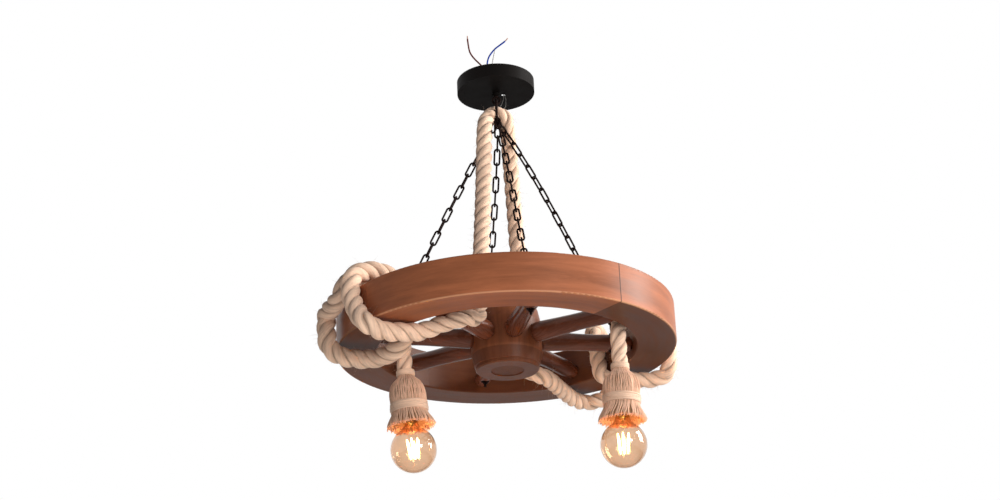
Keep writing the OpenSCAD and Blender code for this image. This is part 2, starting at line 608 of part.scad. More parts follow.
module bulb_cap() color("gold") turned([
    [0, cap_top], [5, cap_top], [5, cap_top - 1.5], [9, cap_top - 3], [cap_r, cap_top - 6],
    [cap_r, cap_bottom], [cap_r - 0.5, cap_bottom], [cap_r - 0.5, cap_top - 6.5],
    [8.5, cap_top - 3.6], [0, cap_top - 3.6]]);

// Profile of the glass, inset from its outside: an ogee neck that runs into the globe
globe_join = 34;       // angle from the globe's axis where the neck meets it
function glass_profile(inset) = let (
        r = globe_r - inset,
        neck = cap_r - 0.8 - inset,
        join_r = r * sin(globe_join),
        join_z = globe_z + r * cos(globe_join),
        neck_z = cap_bottom - 1)
    concat(
        [for (s = [0 : 8]) let (t = s / 8)
            [neck + (join_r - neck) * pow(t, 2.2), neck_z + (join_z - neck_z) * t]],
        [for (a = [globe_join + 8 : 8 : 172]) [r * sin(a), globe_z + r * cos(a)]],
        [[0, globe_z - r]]);
glass_top = cap_bottom + 6;
module bulb_glass() color("peru", 0.4) turned(concat(
    [[cap_r - 0.8 - glass_t, glass_top], [cap_r - 0.8, glass_top]],
    glass_profile(0), reversed(glass_profile(glass_t))));

stem_end = globe_z - 16;
filament_spread = 10;
filament_d = 2;
filament_count = 4;
module bulb_stem() color("lightcyan", 0.5) {
    turned([[0, glass_top], [cap_r - 0.8 - glass_t - seat_gap, glass_top],
            [cap_r - 0.8 - glass_t - seat_gap, glass_top - 1], [6, glass_top - 8],
            [2.5, glass_top - 16], [1.6, glass_top - 28], [1.6, stem_end], [0, stem_end]]);
    for (k = [0 : filament_count - 1]) rotate([0, 0, 360 / filament_count * k + 45])
        translate([0, 0, stem_end + 0.6]) rotate([0, 90, 0])
        cylinder(d = 0.8, h = filament_spread, $fn = 16);
}
filament_top = globe_z + 18;
module bulb_filaments() color("gold") for (k = [0 : filament_count - 1])
    rotate([0, 0, 360 / filament_count * k + 45]) filament();
module filament() {
    low = [filament_spread + 0.2, 0, stem_end + 0.6 + 1.6];
    high = [3.2, 0, filament_top];
    lean = atan2(low[0] - high[0], high[2] - low[2]);
    translate(low) rotate([0, -lean, 0]) cylinder(d = filament_d, h = norm(high - low), $fn = 16);
}

module rope_drop_left() { place_left() rope_drop(drop_left_l); }
module tassel_left() { place_left() tassel(); }
module neck_binding_left() { place_left() neck_binding(); }
module waist_binding_left() { place_left() waist_binding(); }
module lampholder_left() { place_left() lampholder(); }
module holder_shell_left() { place_left() holder_shell(); }
module bulb_glass_left() { place_left() bulb_glass(); }
module bulb_cap_left() { place_left() bulb_cap(); }
module bulb_stem_left() { place_left() bulb_stem(); }
module bulb_filaments_left() { place_left() bulb_filaments(); }
module rope_drop_right() { place_right() rope_drop(drop_right_l); }
module tassel_right() { place_right() tassel(); }
module neck_binding_right() { place_right() neck_binding(); }
module waist_binding_right() { place_right() waist_binding(); }
module lampholder_right() { place_right() lampholder(); }
module holder_shell_right() { place_right() holder_shell(); }
module bulb_glass_right() { place_right() bulb_glass(); }
module bulb_cap_right() { place_right() bulb_cap(); }
module bulb_stem_right() { place_right() bulb_stem(); }
module bulb_filaments_right() { place_right() bulb_filaments(); }

ceiling_bracket();
bracket_nut();
canopy_cup();
canopy_collar();
hanger_eye_bolt();
terminal_block();
terminal_clamps();
supply_lead_brown();
supply_lead_blue();
supply_lead_clear();
lamp_leads();
hanger_link();
chain_right();
chain_far();
chain_left();
chain_near();
eye_bolts();
eye_bolt_washers();
eye_bolt_nuts();
felloe_1();
felloe_2();
felloe_3();
felloe_4();
felloe_dowels();
spoke_1();
spoke_2();
spoke_3();
spoke_4();
spoke_5();
spoke_6();
spoke_7();
spoke_8();
hub();
hub_plug();
rope_suspension();
rope_winding_left();
rope_winding_right();
rope_drop_left();
tassel_left();
neck_binding_left();
waist_binding_left();
lampholder_left();
holder_shell_left();
bulb_glass_left();
bulb_cap_left();
bulb_stem_left();
bulb_filaments_left();
rope_drop_right();
tassel_right();
neck_binding_right();
waist_binding_right();
lampholder_right();
holder_shell_right();
bulb_glass_right();
bulb_cap_right();
bulb_stem_right();
bulb_filaments_right();
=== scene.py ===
"""Wagon wheel chandelier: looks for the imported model, laid out as an add-on and run as a script.

Metres throughout. The origin is on the ceiling at the middle of the bracket, +Z is up and the
photographed side faces -Y. Every new piece is a numpy surface: a grid of points worked out from
two parameters, or a profile carried along a path.
"""
import math

import bpy
import numpy as np
from mathutils import Matrix


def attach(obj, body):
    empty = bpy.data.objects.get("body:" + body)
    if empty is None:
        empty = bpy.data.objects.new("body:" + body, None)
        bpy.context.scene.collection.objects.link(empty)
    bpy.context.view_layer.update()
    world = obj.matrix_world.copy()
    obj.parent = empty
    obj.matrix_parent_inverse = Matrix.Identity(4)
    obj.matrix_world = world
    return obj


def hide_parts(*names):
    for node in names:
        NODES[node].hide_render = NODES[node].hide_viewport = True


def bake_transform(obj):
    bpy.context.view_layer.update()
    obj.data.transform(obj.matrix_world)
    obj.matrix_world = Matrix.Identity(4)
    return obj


bl_info = {
    "name": "Wagon Wheel Chandelier",
    "version": (1, 0, 0),
    "blender": (4, 5, 0),
    "location": "View3D > Sidebar > Chandelier",
    "description": "Builds the rope, tassels, lamps, leads and finishes of a wagon wheel chandelier",
    "category": "Add Mesh",
}

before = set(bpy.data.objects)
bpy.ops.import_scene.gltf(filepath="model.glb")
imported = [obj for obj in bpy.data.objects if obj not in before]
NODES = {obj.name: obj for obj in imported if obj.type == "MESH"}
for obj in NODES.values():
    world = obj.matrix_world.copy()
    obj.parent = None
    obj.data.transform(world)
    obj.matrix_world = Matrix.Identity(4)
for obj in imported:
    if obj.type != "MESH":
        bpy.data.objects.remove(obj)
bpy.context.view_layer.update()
RNG_SEED = 7

# ---- Places that the CAD model fixes, in metres -----------------------------------------------
RIM_R = 0.300
RIM_DEPTH = 0.070
RIM_H = 0.070
RIM_Z = -0.540
ROPE_R = 0.014
SEAT = 0.0003
CREST_Z = -0.067
POLE_Z = -0.0178
LAMPS = {  # pivot angle, across, up; tilt in degrees; rope below the pivot
    "left": ((199, -1.55, -1.12), -4.8, 0.028),
    "right": ((333.5, -1.02, -1.36), 1.0, 0.032),
}
LEFT_WINDING = [
    [254, -2.02, -0.40], [250.5, -1.81, -0.54], [246, -1.56, -0.64], [237, -1.33, -0.76],
    [229.5, -0.9, -0.96], [226.5, -0.21, -1.06], [224.5, 0.47, -1.09], [224, 1.07, -0.93],
    [220, 1.05, -0.43], [217, 1.03, 0.1], [216, 1.03, 0.51], [215.5, 0.95, 0.91],
    [214.5, 0.68, 1.16], [214.5, 0.34, 1.32], [215, -0.13, 1.36], [214.5, -0.65, 1.24],
    [214, -1.03, 0.89], [213.5, -1.12, 0.41], [213.5, -1.13, -0.2], [214, -1.11, -0.73],
    [210.5, -1.02, -1.05], [203.5, -0.82, -1.16], [198, -0.45, -1.18], [196, 0.04, -1.16],
    [197, 0.64, -1.12], [197.5, 1.04, -0.84], [197.7, 1.12, -0.36], [197, 1.11, 0.0],
    [198, 1.12, 0.28], [202, 1.06, 0.34], [206, 1.02, 0.4], [209, 0.98, 0.58],
    [209.4, 0.84, 0.98], [207.8, 0.42, 1.17], [206.6, -0.05, 1.17], [206, -0.55, 1.13],
    [206, -0.98, 0.93], [205, -1.07, 0.51], [203.5, -1.27, 0], [201, -1.47, -0.47],
    [199, -1.55, -0.73]]
RIGHT_WINDING = [
    [72.5, -3.27, -0.51], [65, -3.36, -0.87], [57, -3.25, -1.03], [56, -2.73, -1.05],
    [60.5, -1.44, -1.05], [62, -0.25, -1.08], [60.5, 0.42, -1.09], [56.5, 0.72, -1.06],
    [54, 0.97, -0.88], [53, 1.04, -0.41], [52.5, 1.03, 0.1], [52.5, 1.05, 0.58], [52, 0.94, 0.96],
    [50.5, 0.4, 1.18], [47.5, -0.2, 1.22], [44, -0.7, 1.14], [41.5, -1.03, 0.85],
    [39.5, -1.05, 0.45], [38.5, -1.05, 0], [37.5, -1.07, -0.51], [35.5, -1.04, -0.93],
    [33, -0.84, -1.05], [30, -0.41, -1.08], [28.5, 0.18, -1.08], [26.5, 0.66, -1.06],
    [24.2, 1.0, -0.94], [22, 1.06, -0.66], [21, 1.06, -0.3], [20.8, 1.05, 0.15], [21, 1.05, 0.58],
    [20.8, 0.92, 0.98], [19, 0.42, 1.2], [15, -0.13, 1.26], [9.5, -0.58, 1.24],
    [3.5, -0.94, 1.08], [-2.5, -1.11, 0.75], [-10.5, -1.17, 0.41], [-17.5, -1.15, -0.02],
    [-23, -1.08, -0.51], [-26.5, -1.02, -0.93]]
LEFT_ARCH = [[-9.5, -2, 2.5], [-16.5, -6.5, 10], [-21, -14, 22], [-24, -24.5, 42]]
RIGHT_ARCH = [[9.5, 2, 2.5], [16, 6, 10], [19, 13, 22], [20, 27, 45]]
LEG_BOW = np.array([0.002, 0.010, 0.0])
LEG_STEPS = 6
# Length of the loose left winding, and how much thicker than the taut rope both legs are drawn
WOUND_LENGTH, LEG_SWELL = 0.98, 0.07
# Leads, in millimetres, with heights counted from the terminal block's poles
BROWN_ROUTE = [[-11.5, -40.2, 0], [-12, -45, 0], [-14, -50, 3], [-16.5, -51, 10],
               [-19.5, -50.5, 19], [-26, -50, 28.5], [-38, -50, 43], [-45, -50, 56],
               [-47.5, -50, 71], [-48.6, -50, 83], [-48.8, -50, 90.5]]
BLUE_ROUTE = [[-4, -40.2, 0], [-4.5, -45, 0], [-7, -49, 3], [-10.5, -50, 10], [-13, -50, 20],
              [-13.6, -49, 30], [-11.3, -48, 41.5], [-6.6, -48, 51], [2.4, -48, 62],
              [12.6, -49, 69.6], [20.9, -50, 75.6], [26.7, -50, 82]]
CLEAR_ROUTE = [[3.5, -40.2, 0], [3.5, -45, 0], [2, -49, 3], [-1, -50, 10], [-3.5, -50, 20],
               [-3.9, -51, 30], [-1.1, -52, 44], [2.2, -52.5, 58.6]]
LAMP_LEAD_ROUTES = [
    [[-4, -27.8, 0], [-3.5, -22, 0], [-1, -15, -1.2], [7, -5, -2.7], [13, 4.5, -2.7],
     [14, 7, -7.2], [13.5, 8, -14.2], [10, 7, -26.2], [6, 4, -33], [5, 3.4, -34.8]],
    [[3.5, -27.8, 0], [4.5, -22, 0], [8, -14, -1.2], [13, -3, -2.7], [16.5, 6, -3.2],
     [16.5, 9, -8.2], [18, 9, -16.2], [17, 8, -30.2], [14, 6, -36.5], [13.5, 5.5, -37.6]]]
# Tassel and globe profiles, in millimetres: [radius, height] below the top of the tassel
TASSEL_OUT = [[14.4, 0], [14.6, -8], [16.6, -12], [21.0, -17], [25.6, -22.5], [28.6, -29],
              [30.6, -37], [31.5, -46], [31.7, -56], [31.3, -73], [32.6, -78.5], [35.8, -85],
              [39.0, -92], [40.8, -99]]
GLOBE_R, GLOBE_Z = 0.0395, -0.140
CAP_R, CAP_BOTTOM = 0.013, -0.090
WAIST_BANDS = {"left": (-0.0571, -0.0729), "right": (-0.0548, -0.0695)}
NECK_BAND = (0.0020, -0.0080)
SPOKE_ANGLE, SPOKE_Z, BOLT_R, FLAT_H, WASHER_R = 13, -0.516, 0.194, 0.0132, 0.0082
FELLOE_JOINT, HUB_H = 40, 0.116
# Chains: angle of the first link on the hanger's bowl, turn of the eye bolt round the wheel,
# how far the chain bows out in millimetres, and the roll of its first link in degrees
BOWL_R, EYE_R, EYE_Z, LINK_COUNT = 0.02045, 0.007, -0.483, 17
HANGER_WIRE, CHAIN_WIRE, BOLT_WIRE = 0.005, 0.0036, 0.004
CHAINS = {"right": (9, 0, (10, 0, 3), 40), "far": (28, 90, (4, 0, 0), 0),
          "left": (-9, 180, (-3, 0, 2), 8), "near": (-28, 270, (2, 0, 0), 0)}
# Outlines of a spoke, as [distance from the wheel's middle, radius], and of the hub's disc, as
# [radius, height], in millimetres
SPOKE_OUT = [[61.6, 15.8], [63.5, 16.6], [68, 17.6], [82, 17.4], [110, 16.2], [150, 15.0],
             [178, 15.3], [194, 15.8], [208, 15.2], [217, 14.0], [225.8, 13.4]]
DISC_OUT = [[0.02, -573], [28, -573], [28.6, -572.4], [28.6, -561.4], [0.02, -561]]
# The inside of a tassel's lining, from its mouth up to the lampholder, in millimetres
LINING_IN = [[38.2, -96], [36, -93], [30, -88.5], [20, -85], [20, -28.7], [0.2, -28.7]]
STICK_TOP, STICK_BOTTOM = -0.1215, -0.1550
# The photograph's camera: lens in millimetres, place, direction, and turns of its frame
LENS = 62.077
CAMERA_AT = (0.01339252, -2.88429435, -1.53703346)
CAMERA_WAY = np.array([-0.00574087, 0.92396437, 0.38243547])
CAMERA_LEVEL, CAMERA_ROLL = -0.0062, -0.0417


# ---- Arrays ---------------------------------------------------------------------------------
def unit(v):
    return v / np.maximum(np.linalg.norm(v, axis=-1, keepdims=True), 1e-12)


def smoothstep(x, low, high):
    t = np.clip((x - low) / (high - low), 0, 1)
    return t * t * (3 - 2 * t)


def spline(points, steps):
    """A Catmull-Rom curve through the points: each span is the usual cubic of its four
    neighbours, evaluated at all its steps at once."""
    p = np.asarray(points, float)
    q = np.vstack([p[:1], p, p[-1:]])
    t = (np.arange(steps) / steps)[None, :, None]
    a, b, c, d = (q[i:len(q) - 3 + i, None, :] for i in range(4))
    curve = 0.5 * (2 * b + (c - a) * t + (2 * a - 5 * b + 4 * c - d) * t**2
                   + (3 * b - a - 3 * c + d) * t**3)
    return np.vstack([curve.reshape(-1, 3), p[-1:]])


def arc_length(path):
    return np.concatenate([[0], np.cumsum(np.linalg.norm(np.diff(path, axis=0), axis=1))])


def even_steps(path, step):
    """The same curve, with points at even distances along it."""
    s = arc_length(path)
    at = np.linspace(0, s[-1], max(2, int(round(s[-1] / step)) + 1))
    return np.stack([np.interp(at, s, path[:, k]) for k in range(3)], axis=1)


def carried_frames(path):
    """Tangent and two normals along a path, without twist. Any normal is taken at each point,
    and the angles by which the next one differs are summed and turned back."""
    t = unit(np.gradient(path, axis=0))
    ref = np.where(np.abs(t[:, 2:3]) < 0.8, [[0.0, 0.0, 1.0]], [[1.0, 0.0, 0.0]])
    n = unit(ref - np.sum(ref * t, axis=1, keepdims=True) * t)
    b = np.cross(t, n)
    moved = n[:-1] - np.sum(n[:-1] * t[1:], axis=1, keepdims=True) * t[1:]
    turn = np.arctan2(np.sum(moved * b[1:], axis=1), np.sum(moved * n[1:], axis=1))
    angle = np.concatenate([[0], np.cumsum(turn)])[:, None]
    return t, np.cos(angle) * n + np.sin(angle) * b, -np.sin(angle) * n + np.cos(angle) * b


def tube_points(path, radius, sides):
    """Rings carried along a path: centre + radius (cos a n + sin a b)."""
    _, n, b = carried_frames(path)
    a = np.linspace(0, 2 * np.pi, sides, endpoint=False)[None, :, None]
    r = np.broadcast_to(np.asarray(radius, float), (len(path),))[:, None, None]
    return path[:, None] + r * (np.cos(a) * n[:, None] + np.sin(a) * b[:, None])


def lathe(profile, segments):
    """A profile [radius, height] turned round Z: (r cos a, r sin a, z) over all a."""
    p = np.asarray(profile, float)
    a = np.linspace(0, 2 * np.pi, segments, endpoint=False)[None, :]
    return np.stack([p[:, :1] * np.cos(a), p[:, :1] * np.sin(a),
                     np.broadcast_to(p[:, 1:], (len(p), segments))], axis=2)


class Shell:
    """Collects grids of points and turns them into one mesh object."""

    def __init__(self):
        self.points, self.quads, self.caps, self.uvs, self.count = [], [], [], [], 0

    def add(self, grid, uv=None, close_rows=False, caps=True, flip=False):
        """grid is rows x columns x 3 with its columns closed round; several grids of the same
        shape may be stacked in front. close_rows joins the last row to the first."""
        g = grid if grid.ndim == 4 else grid[None]
        k, m, n = g.shape[:3]
        index = self.count + np.arange(k * m * n).reshape(k, m, n)
        above = np.roll(index, -1, axis=1)
        corners = [index, np.roll(index, -1, axis=2), np.roll(above, -1, axis=2), above]
        rows = m if close_rows else m - 1
        quads = np.stack([c[:, :rows] for c in corners], axis=-1).reshape(-1, 4)
        self.quads.append(quads[:, ::-1] if flip else quads)
        if caps and not close_rows:
            ends = [index[:, 0, ::-1], index[:, -1]]
            self.caps += [e[:, ::-1] if flip else e for e in ends]
        if uv is None:
            u = np.broadcast_to(np.linspace(0, 1, n, endpoint=False)[None, None], (k, m, n))
            v = np.broadcast_to(np.linspace(0, 1, m)[None, :, None], (k, m, n))
            uv = np.stack([u, v], axis=3)
        self.uvs.append(np.asarray(uv, float).reshape(-1, 2))
        self.points.append(g.reshape(-1, 3))
        self.count += k * m * n

    def build(self, name, material, body=None, smooth=True):
        points = np.vstack(self.points)
        uvs = np.vstack(self.uvs)
        groups = [np.vstack(self.quads)] + self.caps
        corners = np.concatenate([g.ravel() for g in groups]).astype(np.int32)
        sizes = np.concatenate([np.full(len(g), g.shape[1]) for g in groups]).astype(np.int32)
        starts = np.concatenate([[0], np.cumsum(sizes)[:-1]]).astype(np.int32)
        mesh = bpy.data.meshes.new(name)
        mesh.vertices.add(len(points))
        mesh.vertices.foreach_set("co", points.astype(np.float32).ravel())
        mesh.loops.add(len(corners))
        mesh.loops.foreach_set("vertex_index", corners)
        mesh.polygons.add(len(sizes))
        mesh.polygons.foreach_set("loop_start", starts)
        mesh.polygons.foreach_set("loop_total", sizes)
        mesh.polygons.foreach_set("use_smooth", np.full(len(sizes), smooth))
        mesh.update(calc_edges=True)
        layer = mesh.uv_layers.new(name="UVMap")
        layer.data.foreach_set("uv", uvs[corners].astype(np.float32).ravel())
        mesh.validate()
        mesh.materials.append(material)
        piece = bpy.data.objects.new(name, mesh)
        bpy.context.scene.collection.objects.link(piece)
        if body:
            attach(piece, body)
        return piece


def make_piece(name, grid, material, body, slot, *nodes, smooth=True, **how):
    """One grid as a piece that rides on a body, with the nodes it stands for; slot is not used."""
    shell = Shell()
    shell.add(grid, **how)
    piece = shell.build(name, material, body, smooth)
    if nodes:
        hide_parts(*nodes)
    return piece


def by_rim(p):
    """[angle, across, up] beside the rim, as in the CAD model, to a point."""
    p = np.asarray(p, float)
    across = RIM_R - RIM_DEPTH / 2 + p[..., 1] * (RIM_DEPTH / 2 + ROPE_R + SEAT)
    a = np.radians(p[..., 0])
    up = RIM_Z + RIM_H / 2 + p[..., 2] * (RIM_H / 2 + ROPE_R + SEAT)
    return np.stack([across * np.cos(a), across * np.sin(a), up], axis=-1)


def in_lamp(side, local):
    """A point measured down from the top of a lamp's tassel, to its place: turned about Y by
    the lamp's tilt and moved to its pivot."""
    pivot, tilt, drop = LAMPS[side]
    a = math.radians(tilt)
    q = np.asarray(local, float)
    x, y, z = q[..., 0], q[..., 1], q[..., 2] - drop
    turned = np.stack([x * math.cos(a) + z * math.sin(a), y,
                       z * math.cos(a) - x * math.sin(a)], axis=-1)
    return turned + by_rim(pivot)


# ---- Materials ------------------------------------------------------------------------------
class Finish:
    """A node material with a few short calls for the nodes that this lamp needs."""

    def __init__(self, name, **sockets):
        self.material = bpy.data.materials.new(name)
        self.material.use_nodes = True
        self.tree = self.material.node_tree
        self.shader = self.tree.nodes["Principled BSDF"]
        self.output = self.tree.nodes["Material Output"]
        for key, value in sockets.items():
            self.shader.inputs[key.replace("_", " ")].default_value = value

    def node(self, kind, **settings):
        made = self.tree.nodes.new(kind)
        for key, value in settings.items():
            setattr(made, key, value)
        return made

    def put(self, value, socket):
        if isinstance(value, bpy.types.NodeSocket):
            self.tree.links.new(value, socket)
        else:
            socket.default_value = value

    def math(self, operation, a, b=0.0):
        made = self.node("ShaderNodeMath", operation=operation)
        self.put(a, made.inputs[0])
        self.put(b, made.inputs[1])
        return made.outputs[0]

    def place(self, scale, source="Object", rotation=(0, 0, 0)):
        """Object or UV coordinates, turned and then stretched."""
        made = self.node("ShaderNodeMapping")
        self.put(self.node("ShaderNodeTexCoord").outputs[source], made.inputs["Vector"])
        made.inputs["Scale"].default_value = scale
        made.inputs["Rotation"].default_value = rotation
        return made.outputs[0]

    def axes(self, vector):
        """The three numbers of a vector."""
        made = self.node("ShaderNodeSeparateXYZ")
        self.put(vector, made.inputs[0])
        return made.outputs

    def round_middle(self, x, y):
        """Angle and distance round the Z axis."""
        square = self.math("ADD", self.math("MULTIPLY", x, x), self.math("MULTIPLY", y, y))
        return self.math("ARCTAN2", y, x), self.math("SQRT", square)

    def polar(self, scale, seam=0.0):
        """Object coordinates as (length round the wheel, distance from its middle, height),
        each stretched; seam is the angle in degrees where the lengths start over."""
        x, y, z = self.axes(self.place((1, 1, 1), rotation=(0, 0, math.radians(180 - seam))))
        angle, radius = self.round_middle(x, y)
        joined = self.node("ShaderNodeCombineXYZ")
        self.put(self.math("MULTIPLY", angle, scale[0] * 0.27), joined.inputs[0])
        self.put(self.math("MULTIPLY", radius, scale[1]), joined.inputs[1])
        self.put(self.math("MULTIPLY", z, scale[2]), joined.inputs[2])
        return joined.outputs[0]

    def noise(self, vector, scale=1.0, detail=4.0, roughness=0.6, distortion=0.0):
        made = self.node("ShaderNodeTexNoise")
        self.put(vector, made.inputs["Vector"])
        for key, value in (("Scale", scale), ("Detail", detail), ("Roughness", roughness),
                           ("Distortion", distortion)):
            made.inputs[key].default_value = value
        return made.outputs["Fac"]

    def ramp(self, value, stops):
        made = self.node("ShaderNodeValToRGB")
        self.put(value, made.inputs[0])
        band = made.color_ramp
        while len(band.elements) < len(stops):
            band.elements.new(0.5)
        for element, (place, colour) in zip(band.elements, stops):
            element.position = place
            element.color = (*colour, 1) if len(colour) == 3 else colour
        return made.outputs[0]

    def levels(self, value, low, high, to_low=0.0, to_high=1.0):
        made = self.node("ShaderNodeMapRange")
        self.put(value, made.inputs["Value"])
        for key, number in (("From Min", low), ("From Max", high), ("To Min", to_low),
                            ("To Max", to_high)):
            made.inputs[key].default_value = number
        return made.outputs[0]

    def mix(self, factor, a, b, blend="MIX"):
        made = self.node("ShaderNodeMix", data_type="RGBA", blend_type=blend)
        self.put(factor, made.inputs[0])
        self.put(a if isinstance(a, bpy.types.NodeSocket) else (*a, 1)[:4], made.inputs[6])
        self.put(b if isinstance(b, bpy.types.NodeSocket) else (*b, 1)[:4], made.inputs[7])
        return made.outputs[2]

    def bump(self, height, distance, strength=1.0):
        made = self.node("ShaderNodeBump")
        made.inputs["Strength"].default_value = strength
        made.inputs["Distance"].default_value = distance
        self.put(height, made.inputs["Height"])
        self.put(made.outputs[0], self.shader.inputs["Normal"])

    def feed(self, **sockets):
        for key, value in sockets.items():
            self.put(value, self.shader.inputs[key.replace("_", " ")])
        return self


def rim_joints_and_painted_light(f, colour, tones, broad):
    """The rim's joints towards +X are drawn dark, and a painted highlight runs pale along its lower
    outer edge. Painted shade darkens its inner face, and the undersides of all felloes but the near
    one."""
    x, y, z = f.axes(f.place((1, 1, 1)))
    angle, radius = f.round_middle(x, y)
    angle = f.math("SUBTRACT", angle, math.radians(FELLOE_JOINT))
    to_joint = f.math("PINGPONG", angle, math.radians(45))
    joint = f.levels(f.math("MULTIPLY", to_joint, RIM_R), 0.0006, 0.0015, 0.8, 0.0)
    joint = f.math("MULTIPLY", joint, f.levels(x, 0.0, 0.02))
    inward = f.math("SUBTRACT", RIM_R, radius)
    upward = f.math("SUBTRACT", z, RIM_Z)
    # Painted highlight: the lower outer edge of the rim is drawn pale
    painted_arris_highlight = f.levels(f.math("ADD", inward, upward), 0.0012, 0.0032, 0.75, 0.0)
    painted_arris_highlight = f.math("MULTIPLY", painted_arris_highlight, f.levels(broad, 0.35, 0.55, 0.35, 1.0))
    # Painted shade: the inner face, and the undersides of all felloes but the near one, are drawn
    # darker
    near = f.levels(f.math("COSINE", f.math("ADD", angle, math.radians(135))), 0.70, 0.715)
    below = f.math("MULTIPLY", f.levels(upward, 0.001, 0.003, 1.0, 0.0),
                   f.math("SUBTRACT", 1.0, near))
    inner_r = RIM_R - RIM_DEPTH
    inside = f.levels(radius, inner_r + 0.0015, inner_r + 0.0035, 1.0, 0.0)
    painted_shade = f.math("MULTIPLY", f.math("MAXIMUM", inside, below), 0.72)
    colour = f.mix(painted_shade, colour, [c * 0.13 for c in tones[1]])
    colour = f.mix(painted_arris_highlight, colour, (0.72, 0.36, 0.20))
    return f.mix(joint, colour, [c * 0.12 for c in tones[0]])


def painted_foot_shade(f, colour, tones, broad):
    """Painted shade on a hub: darker on its foot, and darkest on its end face."""
    height = f.axes(f.place((1, 1, 1)))[2]
    lowest = SPOKE_Z - HUB_H / 2
    # Painted shade on the hub's foot and end face
    painted_shade = f.math("MAXIMUM", f.levels(height, lowest + 0.0275, lowest + 0.0285, 0.40, 0.0),
                   f.levels(height, lowest + 0.0005, lowest + 0.002, 0.5, 0.0))
    return f.mix(painted_shade, colour, (0.020, 0.0085, 0.0075))


def wood_finish(name, tones, scale, seam=0.0, gloss=0.35, coat=0.0, shine=0.1, marks_and_painted_light=None):
    """Lacquered wood: a broad drift of tone, long fine grain and short dark pores, all drawn
    out along the first of the polar coordinates in scale. marks_and_painted_light is a function that
    changes the colour in some places, with dark joints, painted highlights and painted shade."""
    f = Finish(name, Roughness=gloss, Coat_Weight=coat, Coat_Roughness=0.16,
               Specular_IOR_Level=shine)
    broad = f.noise(f.polar([v * 0.16 for v in scale], seam), 1.0, 3, 0.5, 0.6)
    grain = f.noise(f.polar(scale, seam), 1.0, 6, 0.62, 0.4)
    pores = 700.0
    pore_at = f.polar([scale[0] * 3, *(v / max(scale) * pores for v in scale[1:])], seam)
    pore = f.levels(f.noise(pore_at, 1.0, 2, 0.5), 0.60, 0.72)
    tone = f.math("ADD", f.math("MULTIPLY", grain, 0.55), f.math("MULTIPLY", broad, 0.45))
    base = f.ramp(tone, [(0.30, tones[0]), (0.50, tones[1]), (0.70, tones[2])])
    colour = f.mix(f.math("MULTIPLY", pore, 0.35), base, tones[0])
    if marks_and_painted_light:
        colour = marks_and_painted_light(f, colour, tones, broad)
    f.feed(Base_Color=colour, Roughness=f.levels(grain, 0.3, 0.7, gloss - 0.06, gloss + 0.08))
    f.bump(f.math("SUBTRACT", grain, f.math("MULTIPLY", pore, 0.5)), 0.0004, 0.35)
    return f.material


def fibre_finish(name, tones, across, along, sheen=0.25, depth=0.0006, groove_shade=0.0):
    """Jute: fine fibres drawn out along the piece's own UV map, and a drift of tone over the
    length. U is 0 on the outside of a strand and half a turn at its inside, so its cosine tells
    how deep a point lies between the strands, where painted shade darkens the jute by groove_shade."""
    f = Finish(name, Roughness=0.86, Sheen_Weight=sheen, Sheen_Roughness=0.5,
               Specular_IOR_Level=0.2)
    fibres = f.noise(f.place((across, along, 1), "UV"), 1.0, 4, 0.65, 0.3)
    strands = f.noise(f.place((across * 0.22, along * 0.5, 1), "UV"), 1.0, 2, 0.5)
    drift = f.noise(f.place((9, 9, 9)), 1.0, 2, 0.5)
    tone = f.math("ADD", f.math("MULTIPLY", fibres, 0.6),
                  f.math("ADD", f.math("MULTIPLY", strands, 0.25), f.math("MULTIPLY", drift, 0.15)))
    colour = f.ramp(tone, [(0.32, tones[0]), (0.47, tones[1]), (0.62, tones[2])])
    # Painted shade in the grooves between the strands
    if groove_shade:
        u = f.axes(f.place((1, 1, 1), "UV"))[0]
        outward = f.math("COSINE", f.math("MULTIPLY", u, 2 * math.pi))
        groove_shade_colour = [c * 0.42 for c in tones[0]]
        colour = f.mix(f.levels(outward, 0.1, 0.62, groove_shade, 0.0), colour, groove_shade_colour)
    f.feed(Base_Color=colour)
    f.bump(f.math("ADD", fibres, f.math("MULTIPLY", strands, 0.8)), depth, 0.7)
    return f.material


def worn_metal(name, colour, metallic, roughness, spread=0.25, size=60.0, shine=0.4):
    """Coated metal: a soft mottle that changes both tone and gloss."""
    f = Finish(name, Metallic=metallic, Specular_IOR_Level=shine)
    mottle = f.noise(f.place((size, size, size)), 1.0, 5, 0.6)
    dark = [c * (1 - spread) for c in colour]
    light = [c * (1 + spread) for c in colour]
    f.feed(Base_Color=f.ramp(mottle, [(0.35, dark), (0.65, light)]),
           Roughness=f.levels(mottle, 0.3, 0.7, roughness - 0.07, roughness + 0.08))
    f.bump(mottle, 0.0002, 0.2)
    return f.material


def paint_nodes(material, slot, *names):
    """Gives CAD nodes a finish; their meshes stay as they are."""
    for name in names:
        piece = NODES[name]
        piece.data.materials.clear()
        piece.data.materials.append(material)


def settings():
    return bpy.context.scene.chandelier


# ---- Settings -------------------------------------------------------------------------------
def length_prop(name, text, default, low, high):
    return bpy.props.FloatProperty(name=name, description=text, default=default, min=low,
                                   max=high, subtype="DISTANCE", unit="LENGTH", precision=5)


def colour_prop(name, text, default):
    return bpy.props.FloatVectorProperty(name=name, description=text, default=default, size=3,
                                         min=0, max=1, subtype="COLOR")


def number_prop(name, text, default, high, subtype="NONE"):
    return bpy.props.FloatProperty(name=name, description=text, default=default, min=0,
                                   max=high, subtype=subtype)


def count_prop(name, text, default, low, high):
    return bpy.props.IntProperty(name=name, description=text, default=default, min=low, max=high)


